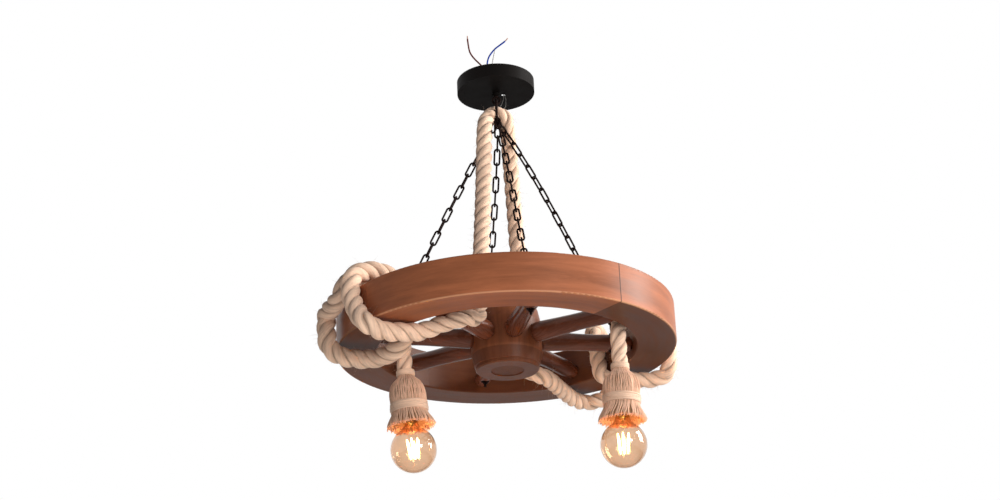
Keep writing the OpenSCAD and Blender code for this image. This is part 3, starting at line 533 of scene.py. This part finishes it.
class ChandelierSettings(bpy.types.PropertyGroup):
    """Sizes and colours of the pieces that are made here."""
    rope_lay: length_prop("Rope lay", "Length in which a strand goes once round the rope",
                          0.074, 0.04, 0.1)
    strand_round: length_prop("Strand height", "Half thickness of a strand, outwards",
                              0.0065, 0.004, 0.009)
    strand_wide: length_prop("Strand width", "Half width of a strand, along the surface",
                             0.0074, 0.004, 0.01)
    winding_swell: number_prop("Winding swell", "How much thicker the loose left winding is",
                               0.20, 0.3, "FACTOR")
    hair_length: length_prop("Hair length", "Usual length of a loose fibre", 0.010, 0.002, 0.03)
    hair_count: count_prop("Loose fibres", "Loose fibres on each half of the rope", 1300, 0, 4000)
    tassel_cords: count_prop("Tassel cords", "Cords side by side round a tassel", 92, 30, 120)
    twine_r: length_prop("Twine radius", "Half thickness of the binding twine",
                         0.0011, 0.0005, 0.002)
    jute: colour_prop("Jute", "Middle tone of the rope", (0.84, 0.575, 0.42))
    wood: colour_prop("Wood", "Middle tone of the lacquered wood", (0.325, 0.106, 0.047))
    amber: colour_prop("Amber glass", "Tint of the globes", (0.885, 0.70, 0.55))
    glow: colour_prop("Filament light", "Colour of the lit filaments", (1.0, 0.72, 0.36))
    glow_strength: number_prop("Filament strength", "Brightness of the lit filaments", 80.0, 500)


def tones(colour, dark=0.6, light=1.35):
    """A dark, a middle and a light tone of a colour."""
    return [[c * dark for c in colour], list(colour), [min(1.0, c * light) for c in colour]]


def shade(colour, *parts):
    """Each part of a colour, taken down by its own share."""
    return [c * part for c, part in zip(colour, parts)]


# ---- Stage ----------------------------------------------------------------------------------
def softbox(name, place, target, size, energy, colour=(1, 1, 1)):
    """An area lamp at a place, facing a target."""
    data = bpy.data.lights.new(name, "AREA")
    data.shape, data.size, data.size_y, data.energy, data.color = "RECTANGLE", *size, energy, colour
    lamp = bpy.data.objects.new(name, data)
    away = unit(np.subtract(place, target))
    side = unit(np.cross([0, 0, 1], away))
    turn = Matrix(np.stack([side, np.cross(away, side), away], axis=1).tolist()).to_4x4()
    lamp.matrix_world = Matrix.Translation(place) @ turn
    bpy.context.scene.collection.objects.link(lamp)


class CHANDELIER_OT_stage(bpy.types.Operator):
    """Make the camera, the lamps, the pale room and its floor"""
    bl_idname = "chandelier.stage"
    bl_label = "Stage"

    def execute(self, context):
        scene = context.scene
        scene.view_settings.view_transform = "Standard"
        data = bpy.data.cameras.new("camera")
        data.lens, data.sensor_width, data.clip_end = LENS, 36, 50
        camera = bpy.data.objects.new("camera", data)
        scene.collection.objects.link(camera)
        level = unit(np.array([math.cos(CAMERA_LEVEL), -math.sin(CAMERA_LEVEL), 0]))
        up = np.cross(level, CAMERA_WAY)
        right = math.cos(CAMERA_ROLL) * level + math.sin(CAMERA_ROLL) * up
        top = -math.sin(CAMERA_ROLL) * level + math.cos(CAMERA_ROLL) * up
        turn = Matrix(np.stack([right, top, -CAMERA_WAY], axis=1).tolist()).to_4x4()
        camera.matrix_world = Matrix.Translation(CAMERA_AT) @ turn
        scene.camera = camera

        world = scene.world or bpy.data.worlds.new("room")
        scene.world = world
        world.use_nodes = True
        tree = world.node_tree
        seen = tree.nodes["Background"]
        seen.inputs["Color"].default_value = (1, 1, 1, 1)
        seen.inputs["Strength"].default_value = 1.0
        light = tree.nodes.new("ShaderNodeBackground")
        light.inputs["Color"].default_value = (0.95, 0.97, 1.0, 1)
        light.inputs["Strength"].default_value = 0.12
        # Camera, glossy and transmission rays see plain white; the rest get the weak room light
        rays = tree.nodes.new("ShaderNodeLightPath").outputs
        share = rays["Is Camera Ray"]
        for kind in ("Is Glossy Ray", "Is Transmission Ray"):
            either = tree.nodes.new("ShaderNodeMath")
            either.operation, either.use_clamp = "ADD", True
            tree.links.new(share, either.inputs[0])
            tree.links.new(rays[kind], either.inputs[1])
            share = either.outputs[0]
        pick = tree.nodes.new("ShaderNodeMixShader")
        for source, socket in zip((share, light.outputs[0], seen.outputs[0]), pick.inputs):
            tree.links.new(source, socket)
        tree.links.new(pick.outputs[0], tree.nodes["World Output"].inputs["Surface"])

        pale = Finish("floor", Roughness=0.8, Base_Color=(0.9, 0.9, 0.89, 1))
        # Part of what the camera sees of the floor is plain white, and the rest keeps its shadows
        seen = pale.node("ShaderNodeLightPath").outputs["Is Camera Ray"]
        blend = pale.node("ShaderNodeMixShader")
        pale.put(pale.math("MULTIPLY", seen, 0.6), blend.inputs[0])
        pale.put(pale.shader.outputs[0], blend.inputs[1])
        pale.put(pale.node("ShaderNodeEmission").outputs[0], blend.inputs[2])
        pale.put(blend.outputs[0], pale.output.inputs["Surface"])
        mesh = bpy.data.meshes.new("floor")
        reach, depth = 6.0, -2.4
        mesh.from_pydata([(-reach, -reach, depth), (reach, -reach, depth), (reach, reach, depth),
                          (-reach, reach, depth)], [], [(0, 1, 2, 3)])
        mesh.materials.append(pale.material)
        piece = bpy.data.objects.new("floor", mesh)
        scene.collection.objects.link(piece)

        wheel = (0, 0, -0.55)
        softbox("side_window", (2.3, 0.05, 0.3), wheel, (1.0, 1.5), 94, (1.0, 0.98, 0.95))
        softbox("front_soft", (1.3, -2.1, -0.45), wheel, (0.9, 0.6), 33, (1.0, 0.99, 0.97))
        softbox("low_soft", (-0.5, -1.7, -2.0), wheel, (0.8, 0.8), 9, (1.0, 0.97, 0.93))
        return {"FINISHED"}


# ---- Leads ----------------------------------------------------------------------------------
def lead_path(route, step=0.002):
    """A lead's route as an even path, in metres."""
    path = np.array(route, float) / 1000 + [0, 0, POLE_Z]
    return even_steps(spline(path, 8), step)


def bare_end(path, length, radius):
    """Seven fine wires in the bare end: six go round a straight one, once in 9 mm."""
    s = arc_length(path)
    core = path[s >= s[-1] - length - 0.002]
    _, n, b = carried_frames(core)
    turn = 2 * np.pi * arc_length(core)[None] / 0.009 + np.arange(7)[:, None] * 2 * np.pi / 6
    off = np.where(np.arange(7) < 6, radius * 0.46, 0)[:, None, None]
    wires = core[None] + off * (np.cos(turn)[..., None] * n + np.sin(turn)[..., None] * b)
    return np.stack([tube_points(wire, radius * 0.24, 6) for wire in wires])


def insulation(name, colour):
    """Smooth insulation with a faint mottle."""
    f = Finish(name, Roughness=0.45, Specular_IOR_Level=0.08)
    mottle = f.noise(f.place((220, 220, 220)), 1.0, 3)
    f.feed(Base_Color=f.ramp(mottle, [(0.3, [c * 0.85 for c in colour]), (0.7, colour)]))
    return f.material


class CHANDELIER_OT_leads(bpy.types.Operator):
    """Make the supply leads with their bare ends, and the two clear lamp leads"""
    bl_idname = "chandelier.leads"
    bl_label = "Leads"

    def execute(self, context):
        copper = worn_metal("copper", (0.30, 0.13, 0.08), 0.6, 0.4, 0.2, 400)
        thin = insulation("thin_clear_insulation", (0.10, 0.095, 0.09))
        clear = insulation("clear_insulation", (0.42, 0.40, 0.39))
        brown = insulation("brown_insulation", (0.13, 0.022, 0.018))
        blue = insulation("blue_insulation", (0.008, 0.045, 0.34))
        for name, route, radius, bare, skin, core, core_slot in (
                ("brown", BROWN_ROUTE, 0.0015, 0.005, brown, copper, "brass"),
                ("blue", BLUE_ROUTE, 0.0015, 0.006, blue, copper, "brass"),
                ("clear", CLEAR_ROUTE, 0.0008, 0.004, clear, clear, "lead_clear")):
            path = lead_path(route)
            s = arc_length(path)
            skin_path = path[s <= s[-1] - bare]
            lead = make_piece("lead_" + name, tube_points(skin_path, radius, 14), skin, "ceiling",
                              "lead_" + name, "supply_lead_" + name)
            end = make_piece("lead_end_" + name, bare_end(path, bare, radius), core, "ceiling",
                             core_slot)
        for number, route in enumerate(LAMP_LEAD_ROUTES, 1):
            path = lead_path(route)
            lead = make_piece("lamp_lead_%d" % number, tube_points(path, 0.0008, 12), thin,
                              "ceiling", "lead_clear", "lamp_leads")
        return {"FINISHED"}


# ---- Wheel ----------------------------------------------------------------------------------
def spoke_grid(k):
    """A turned spoke: its outline goes round its own axis, (x, r cos a, r sin a), and is laid
    at its angle. Every second spoke has two flats for its eye bolt's washers, where the height
    is cut off."""
    outline = spline([[x, r, 0] for x, r in SPOKE_OUT], 8)[:, :2] / 1000
    a = np.linspace(0, 2 * np.pi, 48, endpoint=False)[None]
    x = np.broadcast_to(outline[:, :1], (len(outline), 48))
    across, up = outline[:, 1:] * np.cos(a), outline[:, 1:] * np.sin(a)
    at_bolt = (np.hypot(x - BOLT_R, across) < WASHER_R) & (k % 2 == 0)
    height = np.where(at_bolt, np.clip(up, -FLAT_H, FLAT_H), up)
    turn = math.radians(SPOKE_ANGLE + 45 * k)
    return np.stack([x * math.cos(turn) - across * math.sin(turn),
                     x * math.sin(turn) + across * math.cos(turn), height + SPOKE_Z], axis=2)


class CHANDELIER_OT_wheel(bpy.types.Operator):
    """Make the spokes and the hub's disc, and finish the rim, hub and dowels as lacquered wood"""
    bl_idname = "chandelier.wheel"
    bl_label = "Wheel"

    def execute(self, context):
        wood = list(settings().wood)
        # The rim's colour holds a painted highlight on its lower outer edge and painted shade on its
        # inner face and undersides
        rim = wood_finish("rim_wood", tones(wood, 0.60, 1.45), (9, 75, 75), seam=220, gloss=0.4,
                          shine=0.12, marks_and_painted_light=rim_joints_and_painted_light)
        turned = wood_finish("spoke_wood", tones(shade(wood, 0.42, 0.38, 0.42), 0.5, 1.6),
                             (70, 8, 70), gloss=0.26, coat=0.28)
        # The hub's foot and end face are drawn darker as painted shade
        hub = wood_finish("hub_wood", tones([c * 0.6 for c in wood], 0.6, 1.4), (26, 60, 9),
                          gloss=0.38, shine=0.12, marks_and_painted_light=painted_foot_shade)
        # The hub's disc is drawn very dark as painted shade on the hub's end face
        base = wood_finish("hub_base_painted_shade", tones([c * 0.29 for c in wood], 0.6, 1.4),
                           (26, 60, 9), gloss=0.4, shine=0.06)
        dowel = wood_finish("dowel_wood", tones((0.4, 0.26, 0.14)), (9, 60, 60))
        paint_nodes(rim, "rim_wood", *["felloe_%d" % k for k in range(1, 5)])
        for k in range(8):
            make_piece("turned_spoke_%d" % (k + 1), spoke_grid(k), turned, "wheel", "rim_wood",
                       "spoke_%d" % (k + 1))
        paint_nodes(hub, "rim_wood", "hub")
        make_piece("hub_disc", lathe(np.array(DISC_OUT) / 1000, 72), base, "wheel", "rim_wood",
                   "hub_plug", smooth=False)
        paint_nodes(dowel, "dowel_wood", "felloe_dowels")
        return {"FINISHED"}


# ---- Metal ----------------------------------------------------------------------------------
def chain_grid(bowl_angle, turn, bow, roll):
    """All links of a chain: a racetrack of wire for each, set end in end along a line that
    bows out as a half sine, most near its top, every second one turned a quarter round the line."""
    a, b = math.radians(bowl_angle), math.radians(SPOKE_ANGLE + turn)
    start = np.array([0, BOWL_R * math.sin(a), CREST_Z - BOWL_R * math.cos(a)])
    eye = np.array([BOLT_R * math.cos(b), BOLT_R * math.sin(b), EYE_Z])
    end = eye + EYE_R * unit((start - eye) * [0, 1, 1])
    along = unit(end - start)
    start = start - along * ((HANGER_WIRE + CHAIN_WIRE) / 2 + SEAT)
    end = end + along * ((BOLT_WIRE + CHAIN_WIRE) / 2 + SEAT)
    u = np.linspace(0, 1, 200)[:, None]
    line = start + (end - start) * u + np.array(bow) / 1000 * np.sin(np.pi * u**0.65)
    s = arc_length(line)
    pitch = (s[-1] - CHAIN_WIRE - SEAT) / LINK_COUNT
    first = pitch * np.arange(LINK_COUNT)
    at = lambda d: np.stack([np.interp(d, s, line[:, k]) for k in range(3)], axis=1)
    near, far = at(first), at(first + pitch + CHAIN_WIRE + SEAT)
    way = unit(far - near)[:, None, None]
    level = unit(np.cross(way, [0.0, 0.92, 0.38]))
    turned = np.radians(roll + 90 * np.arange(LINK_COUNT))[:, None, None, None]
    side = np.cos(turned) * level + np.sin(turned) * np.cross(way, level)
    normal = np.cross(way, side)
    half_w, half_l = 0.0049, (pitch + CHAIN_WIRE + SEAT) / 2
    t = np.linspace(0, 2 * np.pi, 36, endpoint=False)[None, :, None, None]
    straight = np.where(np.cos(t) >= 0, half_l - half_w, half_w - half_l)
    middle = (((near + far) / 2)[:, None, None] + (straight + half_w * np.cos(t)) * way
              + half_w * np.sin(t) * side)
    c = np.linspace(0, 2 * np.pi, 10, endpoint=False)[None, None, :, None]
    outward = np.cos(t) * way + np.sin(t) * side
    return middle + CHAIN_WIRE / 2 * (np.cos(c) * outward + np.sin(c) * normal)


class CHANDELIER_OT_metal(bpy.types.Operator):
    """Make the chains, and finish the canopy, ceiling fittings, hanger, bolts and terminals"""
    bl_idname = "chandelier.metal"
    bl_label = "Metal"

    def execute(self, context):
        paint_nodes(worn_metal("canopy_black", (0.0050, 0.0038, 0.0034), 0.0, 0.55, 0.2, 35, 0.05),
                    "canopy_black", "canopy_cup", "canopy_collar")
        steel = worn_metal("chain_steel", (0.014, 0.0075, 0.0065), 0.0, 0.6, 0.4, 160, 0.03)
        paint_nodes(steel, "chain_steel", "hanger_eye_bolt", "hanger_link", "eye_bolts",
                    "eye_bolt_washers", "eye_bolt_nuts")
        for name, shape in CHAINS.items():
            make_piece("links_" + name, chain_grid(*shape), steel, "wheel", "chain_steel",
                       "chain_" + name, close_rows=True)
        paint_nodes(worn_metal("zinc", (0.62, 0.63, 0.64), 1.0, 0.38, 0.12, 120), "zinc",
                    "ceiling_bracket", "bracket_nut")
        paint_nodes(worn_metal("brass", (0.78, 0.58, 0.28), 1.0, 0.3, 0.12, 140), "brass",
                    "terminal_clamps", "holder_shell_left", "holder_shell_right",
                    "bulb_cap_left", "bulb_cap_right")
        paint_nodes(worn_metal("terminal_white", (0.32, 0.31, 0.29), 0.0, 0.6, 0.05, 90, 0.1),
                    "terminal_white", "terminal_block")
        paint_nodes(worn_metal("holder_black", (0.03, 0.03, 0.03), 0.0, 0.5, 0.2, 90),
                    "holder_black", "lampholder_left", "lampholder_right")
        return {"FINISHED"}


# ---- Rope -----------------------------------------------------------------------------------
def rope_line():
    """The rope's middle line from the top of the left tassel, over the hanger, to the top of
    the right one, and the distances along it of the cuts between its pieces."""
    down = lambda points: np.array([[x, y, -z] for x, y, z in points]) / 1000 + [0, 0, CREST_Z]
    halves, falls = [], []
    for side, arch, winding in (("left", LEFT_ARCH, LEFT_WINDING),
                                ("right", RIGHT_ARCH, RIGHT_WINDING)):
        near, wound = down(arch), by_rim(winding)
        t = (np.arange(1, LEG_STEPS) / LEG_STEPS)[:, None]
        leg = near[-1] + (wound[0] - near[-1]) * t + LEG_BOW * np.sin(np.pi * t)
        halves.append(np.vstack([near, leg, wound]))
        pivot, _, drop = LAMPS[side]
        top = by_rim(pivot) + [0, 0, ROPE_R + SEAT]
        fall = in_lamp(side, [[0, 0, z] for z in (drop, drop * 0.6, 0.004, -0.006)])
        falls.append(np.vstack([[top], fall]))
    left, right = halves
    control = np.vstack([falls[0][::-1], left[::-1], [[0, 0, CREST_Z]], right, falls[1]])
    path = even_steps(spline(control, 10), 0.003)
    nearest = lambda p: int(np.argmin(np.linalg.norm(path - p, axis=1)))
    cuts = [nearest(left[-2]), nearest([0, 0, CREST_Z]), nearest(right[-2])]
    return path, cuts


def swell_winding(path, cuts, swell):
    """The rope's path and its radius along it. The loose left winding is thicker by the share
    swell, the legs by less, and neither is at the crest or at the falls. Where the rope is
    thicker, its middle line moves off the rim by as much."""
    s = arc_length(path)
    from_fall, to_leg = s - s[cuts[0]], s[cuts[0]] + WOUND_LENGTH - s
    share = swell * smoothstep(from_fall, 0.06, 0.16) * smoothstep(to_leg, 0.0, 0.16)
    off_crest = smoothstep(np.abs(s - s[cuts[1]]), 0.03, 0.09)
    share = np.maximum(share, LEG_SWELL * smoothstep(from_fall, 0.9, 1.0) * off_crest
                       * smoothstep(s[cuts[2]] - s, 0.0, 0.1))
    reach = np.hypot(path[:, 0], path[:, 1])
    off = np.column_stack([reach - (RIM_R - RIM_DEPTH / 2), path[:, 2] - (RIM_Z + RIM_H / 2)])
    away = unit(off) * (share * ROPE_R)[:, None]
    moved = path + np.column_stack([away[:, 0] * path[:, 0] / reach, away[:, 0] * path[:, 1] / reach,
                                    away[:, 1]])
    return moved, ROPE_R * (1 + share)


def strand_grid(path, radius, sizes):
    """Three strands laid round the path. Each strand's middle turns once per lay on a circle
    round it; its section is an oval square to its own direction, rippled by its yarns."""
    s = arc_length(path)
    t, n, b = carried_frames(path)
    k = np.arange(3)[:, None, None]
    along = s[None, :, None]
    turn = 2 * np.pi * along / sizes.rope_lay + 2 * np.pi * k / 3
    out = np.cos(turn) * n + np.sin(turn) * b
    round_ = -np.sin(turn) * n + np.cos(turn) * b
    size = (radius / ROPE_R)[None, :, None]
    high, wide = sizes.strand_round * size, sizes.strand_wide * size
    wander = 1 + 0.022 * np.sin(along * 73 + k * 2.1) + 0.016 * np.sin(along * 181 + k)
    middle = path[None] + (ROPE_R * size - high) * wander * out
    run = unit(t[None] + 2 * np.pi * (ROPE_R * size - high) / sizes.rope_lay * round_)
    across = np.cross(run, out)
    a = np.linspace(-np.pi, np.pi, 34, endpoint=False)[None, None, :, None]
    uv = np.stack(np.broadcast_arrays(a[..., 0] / (2 * np.pi) + k, along), axis=-1)
    along, k = along[..., None], k[..., None]
    yarns = 1 + 0.022 * np.abs(np.sin(4.5 * a - 2 * np.pi * along / 0.034))
    fluff = 1 + 0.02 * np.sin(5 * a + along * 260) * np.sin(along * 97 + k)
    section = (high[..., None] * np.cos(a) * out[:, :, None]
               + wide[..., None] * np.sin(a) * across[:, :, None])
    return middle[:, :, None] + yarns * fluff * section, uv


def hairs(shell, rng, path, radius, count, length):
    """Loose fibres: short bent three-sided tubes that leave the rope's surface at random."""
    _, n, b = carried_frames(path)
    at = rng.integers(2, len(path) - 3, count)
    a = rng.uniform(0, 2 * np.pi, count)[:, None]
    out = np.cos(a) * n[at] + np.sin(a) * b[at]
    lean = unit(out * rng.uniform(0.25, 1.0, (count, 1)) + rng.normal(0, 0.8, (count, 3)))
    sag = rng.normal(0, 0.5, (count, 3)) + [0, 0, -0.3]
    size = length * rng.uniform(0.35, 1.5, (count, 1))
    u = np.linspace(0, 1, 5)[None, :, None]
    root = (path[at] + out * (radius[at, None] - 0.0016))[:, None]
    line = root + size[:, None] * (u * lean[:, None] + 0.45 * u**2 * sag[:, None])
    t = unit(np.gradient(line, axis=1))
    ref = unit(np.cross(t, rng.normal(0, 1, (count, 1, 3))))
    other = np.cross(t, ref)
    c = np.linspace(0, 2 * np.pi, 3, endpoint=False)[None, None, :, None]
    fine = (0.00016 * (1 - 0.8 * u))[..., None]
    shell.add(line[:, :, None] + fine * (np.cos(c) * ref[:, :, None]
                                         + np.sin(c) * other[:, :, None]))


class CHANDELIER_OT_rope(bpy.types.Operator):
    """Lay the three-strand rope over the hanger, round the rim and down to both lamps"""
    bl_idname = "chandelier.rope"
    bl_label = "Rope"

    def execute(self, context):
        s = settings()
        rng = np.random.default_rng(RNG_SEED)
        # The grooves between the rope's strands are darkened as painted shade
        jute = fibre_finish("jute_rope", tones(s.jute, 0.70, 1.22), 16, 60, depth=0.0008, groove_shade=0.6)
        path, cuts = rope_line()
        path, radius = swell_winding(path, cuts, s.winding_swell)
        grid, uv = strand_grid(path, radius, s)
        rows = [0, *cuts, len(path) - 1]
        names = ("rope_fall_left", "rope_left", "rope_right", "rope_fall_right")
        for k, name in enumerate(names):
            part = slice(rows[k], rows[k + 1] + 1)
            shell = Shell()
            shell.add(grid[:, part], uv[:, part])
            count = int(s.hair_count * (0.04 if "fall" in name else 1))
            hairs(shell, rng, path[part], radius[part], count, s.hair_length)
            side = name.split("_")[-1]
            if "fall" in name:
                rope = shell.build(name, jute)
                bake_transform(rope)
                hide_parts("rope_drop_" + side)
            else:
                rope = shell.build(name, jute, "wheel")
                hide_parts("rope_winding_" + side, "rope_suspension")
        return {"FINISHED"}


# ---- Tassels --------------------------------------------------------------------------------
def tassel_radius(z):
    """Outer radius of a tassel at a height, along a smooth curve through its profile."""
    p = np.array(TASSEL_OUT, float) / 1000
    curve = spline(np.column_stack([p, np.zeros(len(p))]), 8)
    order = np.argsort(curve[:, 1])
    return np.interp(z, curve[order, 1], curve[order, 0])


def tassel_cords(side, rng, count, inner=False):
    """Cords side by side down the tassel: each follows the profile at its own angle, wanders
    a little, draws in under the bands and ends loose at the skirt."""
    rows = 60
    top = -0.0535 if inner else 0.0015
    bottom = -0.099 + rng.uniform(-0.0022, 0.0022, (count, 1))
    z = top + (bottom - top) * np.linspace(0, 1, rows)[None]
    angle = (np.arange(count)[:, None] + rng.uniform(-0.22, 0.22, (count, 1))) * 2 * np.pi / count
    skirt = smoothstep(-z, 0.068, 0.099)
    body = smoothstep(-z, 0.014, 0.024) * (1 - smoothstep(-z, 0.044, 0.051))
    lean = -0.16 if side == "right" else 0.05
    angle = (angle + skirt * (lean + rng.normal(0, 0.045, (count, 1)))
             + 0.022 * np.sin(z * 150 + rng.uniform(0, 6.28, (count, 1))) * (body + skirt))
    band = np.exp(-((z - np.mean(WAIST_BANDS[side])) / 0.0085) ** 4)
    r = tassel_radius(z) + body * rng.normal(0.0002, 0.00060, (count, 1)) - 0.0010 * band
    r = r + skirt**2 * rng.normal(0, 0.0012, (count, 1))
    thick = np.clip(np.pi * r / count * 0.90, 0.0004, 0.00152) * rng.uniform(0.72, 1.08, (count, 1))
    r = r - thick - (0.0034 if inner else 0.0)
    line = np.stack([r * np.cos(angle), r * np.sin(angle), z], axis=2)
    t = unit(np.gradient(line, axis=1))
    out = np.stack([np.cos(angle), np.sin(angle), np.zeros_like(angle)], axis=2)
    side_way = unit(np.cross(t, out))
    out = np.cross(side_way, t)
    c = np.linspace(0, 2 * np.pi, 8, endpoint=False)[None, None, :, None]
    taper = (thick * (1 - 0.35 * smoothstep(-z, 0.094, 0.100)))[..., None, None]
    grid = line[:, :, None] + taper * (np.cos(c) * out[:, :, None] - np.sin(c) * side_way[:, :, None])
    u = np.linspace(0, 1, 8)[None, None] + np.arange(count)[:, None, None] * 0.31
    return grid, np.stack(np.broadcast_arrays(u, z[..., None]), axis=3)


def band_grid(top, bottom, turns, r, wire, wobble, rng):
    """A helix of twine round the tassel: the angle grows with the height, and the radius
    wavers a little with each turn."""
    u = np.linspace(0, 1, turns * 48 + 1)
    a = 2 * np.pi * turns * u
    rr = r + wire * 0.7 + wobble * np.sin(2.3 * a + rng.uniform(0, 6))
    z = top + (bottom - top) * u + wobble * 1.3 * np.sin(a * 0.93)
    return tube_points(np.stack([rr * np.cos(a), rr * np.sin(a), z], axis=1), wire, 8)


class CHANDELIER_OT_tassels(bpy.types.Operator):
    """Make both tassels: the inner shell, the cords round it and the two twine bands"""
    bl_idname = "chandelier.tassels"
    bl_label = "Tassels"

    def execute(self, context):
        s = settings()
        rng = np.random.default_rng(RNG_SEED + 1)
        cord = fibre_finish("jute_cord", tones(shade(s.jute, 0.86, 0.78, 0.74), 0.38, 1.3),
                            9, 130, 0.3, 0.0003)
        # The lining is drawn dark as painted shade under and between the cords
        shaded_lining = fibre_finish("jute_lining_painted_shade", tones(shade(s.jute, 0.34, 0.26, 0.18), 0.6, 1.3),
                              60, 90, 0.1, 0.0004)
        twine = fibre_finish("jute_twine", tones([c * 0.88 for c in s.jute], 0.7, 1.2),
                             5, 60, 0.3, 0.0003)
        z = np.linspace(-0.001, -0.096, 60)
        outer = np.column_stack([tassel_radius(z) - 0.0017, z])
        wall = np.vstack([[[0.0002, -0.001]], outer, np.array(LINING_IN) / 1000])
        for side in ("left", "right"):
            body = "lamp_" + side
            make_piece("tassel_core_" + side, in_lamp(side, lathe(wall, 96)), shaded_lining, body,
                       "jute", flip=True)
            shell = Shell()
            for count, inner in ((s.tassel_cords, False), (s.tassel_cords - 8, True)):
                grid, uv = tassel_cords(side, rng, count, inner)
                shell.add(in_lamp(side, grid), uv)
            tassel = shell.build("tassel_cords_" + side, cord, body)
            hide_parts("tassel_" + side)
            for name, (top, bottom), turns, r in (("waist", WAIST_BANDS[side], 9, 0.0307),
                                                  ("neck", NECK_BAND, 8, 0.0141)):
                shell = Shell()
                shell.add(in_lamp(side, band_grid(top, bottom, turns, r, s.twine_r, 0.0003, rng)))
                if name == "waist":  # three loose turns over the others
                    loose = band_grid(bottom + 0.002, top - 0.002, 3, r + 0.0009,
                                      s.twine_r * 0.8, 0.0004, rng)
                    shell.add(in_lamp(side, loose))
                band = shell.build("%s_band_%s" % (name, side), twine, body)
                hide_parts("%s_binding_%s" % (name, side))
        return {"FINISHED"}


# ---- Globes ---------------------------------------------------------------------------------
def globe_profile(inset):
    """Half outline of the globe: a neck that widens as a power curve into a circle."""
    r = GLOBE_R - inset
    join = math.radians(34)
    neck = CAP_R - 0.0008 - inset
    top = CAP_BOTTOM - 0.001
    end_r, end_z = r * math.sin(join), GLOBE_Z + r * math.cos(join)
    u = np.linspace(0, 1, 28)[:-1]
    slope = np.column_stack([neck + (end_r - neck) * u**2.2, top + (end_z - top) * u])
    a = np.linspace(join, np.pi - 0.001, 72)
    ball = np.column_stack([r * np.sin(a), GLOBE_Z + r * np.cos(a)])
    return np.vstack([[[neck, CAP_BOTTOM + 0.006]], slope, ball])


def stick_grid():
    """Six filament sticks round the glass stem: rods that lean in as they go down, and whose
    radius falls off at both ends as a low power of a half sine."""
    turn = np.radians(22.5 + 60 * np.arange(6))[:, None, None, None]
    height = np.linspace(STICK_TOP, STICK_BOTTOM, 12)[None, :, None, None]
    reach = 0.0105 - 0.0035 * (height - STICK_TOP) / (STICK_BOTTOM - STICK_TOP)
    c = np.linspace(0, 2 * np.pi, 12, endpoint=False)[None, None, :, None]
    thick = 0.0018 * np.sin(np.linspace(0.12, np.pi - 0.12, 12))[None, :, None, None] ** 0.35
    x = reach * np.cos(turn) + thick * np.cos(c)
    y = reach * np.sin(turn) + thick * np.sin(c)
    return np.concatenate([x, y, np.broadcast_to(height, x.shape)], axis=3)


def glass(name, tint, edge=None):
    """Clear glass that lets lamp light through without a hard shadow. It takes the colour
    edge where it is seen at a slant."""
    f = Finish(name, Base_Color=(*tint, 1), Roughness=0.0, IOR=1.45, Transmission_Weight=1.0)
    if edge:
        slant = f.node("ShaderNodeLayerWeight")
        slant.inputs["Blend"].default_value = 0.32
        f.feed(Base_Color=f.mix(slant.outputs["Facing"], tint, edge))
    clear = f.node("ShaderNodeBsdfTransparent")
    clear.inputs["Color"].default_value = (*tint, 1)
    pick = f.node("ShaderNodeMixShader")
    f.put(f.node("ShaderNodeLightPath").outputs["Is Shadow Ray"], pick.inputs[0])
    f.put(f.shader.outputs[0], pick.inputs[1])
    f.put(clear.outputs[0], pick.inputs[2])
    f.put(pick.outputs[0], f.output.inputs["Surface"])
    return f.material


class CHANDELIER_OT_globes(bpy.types.Operator):
    """Make the amber globes and their lit filaments, and finish the glass stems"""
    bl_idname = "chandelier.globes"
    bl_label = "Globes"

    def execute(self, context):
        s = settings()
        amber = glass("amber_glass", s.amber, shade(s.amber, 0.84, 0.70, 0.60))
        clear = glass("clear_glass", (0.96, 0.97, 0.96))
        lit = Finish("lit_filament", Base_Color=(1, 0.8, 0.5, 1), Roughness=0.5,
                     Emission_Color=(*s.glow, 1), Emission_Strength=s.glow_strength).material
        wall = np.vstack([globe_profile(0.0), globe_profile(0.0009)[::-1]])
        for side in ("left", "right"):
            body = "bulb_" + side
            make_piece("globe_" + side, in_lamp(side, lathe(wall, 96)), amber, body,
                       "amber_glass", "bulb_glass_" + side, flip=True, caps=False)
            paint_nodes(clear, "clear_glass", "bulb_stem_" + side)
            make_piece("lit_filaments_" + side, in_lamp(side, stick_grid()), lit, body,
                       "filament", "bulb_filaments_" + side, flip=True)
        return {"FINISHED"}


# ---- Panel and run --------------------------------------------------------------------------
STEPS = ("stage", "leads", "rope", "tassels", "globes", "wheel", "metal")


class CHANDELIER_PT_panel(bpy.types.Panel):
    """Lists the pieces and their sizes"""
    bl_idname = "CHANDELIER_PT_panel"
    bl_label = "Chandelier"
    bl_space_type = "VIEW_3D"
    bl_region_type = "UI"
    bl_category = "Chandelier"

    def draw(self, context):
        for step in STEPS:
            self.layout.operator("chandelier." + step)
        for name in ChandelierSettings.__annotations__:
            self.layout.prop(context.scene.chandelier, name)


CLASSES = (ChandelierSettings, CHANDELIER_OT_stage, CHANDELIER_OT_leads, CHANDELIER_OT_rope,
           CHANDELIER_OT_tassels, CHANDELIER_OT_globes, CHANDELIER_OT_wheel, CHANDELIER_OT_metal,
           CHANDELIER_PT_panel)


def register():
    for cls in CLASSES:
        bpy.utils.register_class(cls)
    bpy.types.Scene.chandelier = bpy.props.PointerProperty(type=ChandelierSettings)


def unregister():
    del bpy.types.Scene.chandelier
    for cls in reversed(CLASSES):
        bpy.utils.unregister_class(cls)


def main():
    register()
    for step in STEPS:
        getattr(bpy.ops.chandelier, step)()


if __name__ == "__main__":
    main()
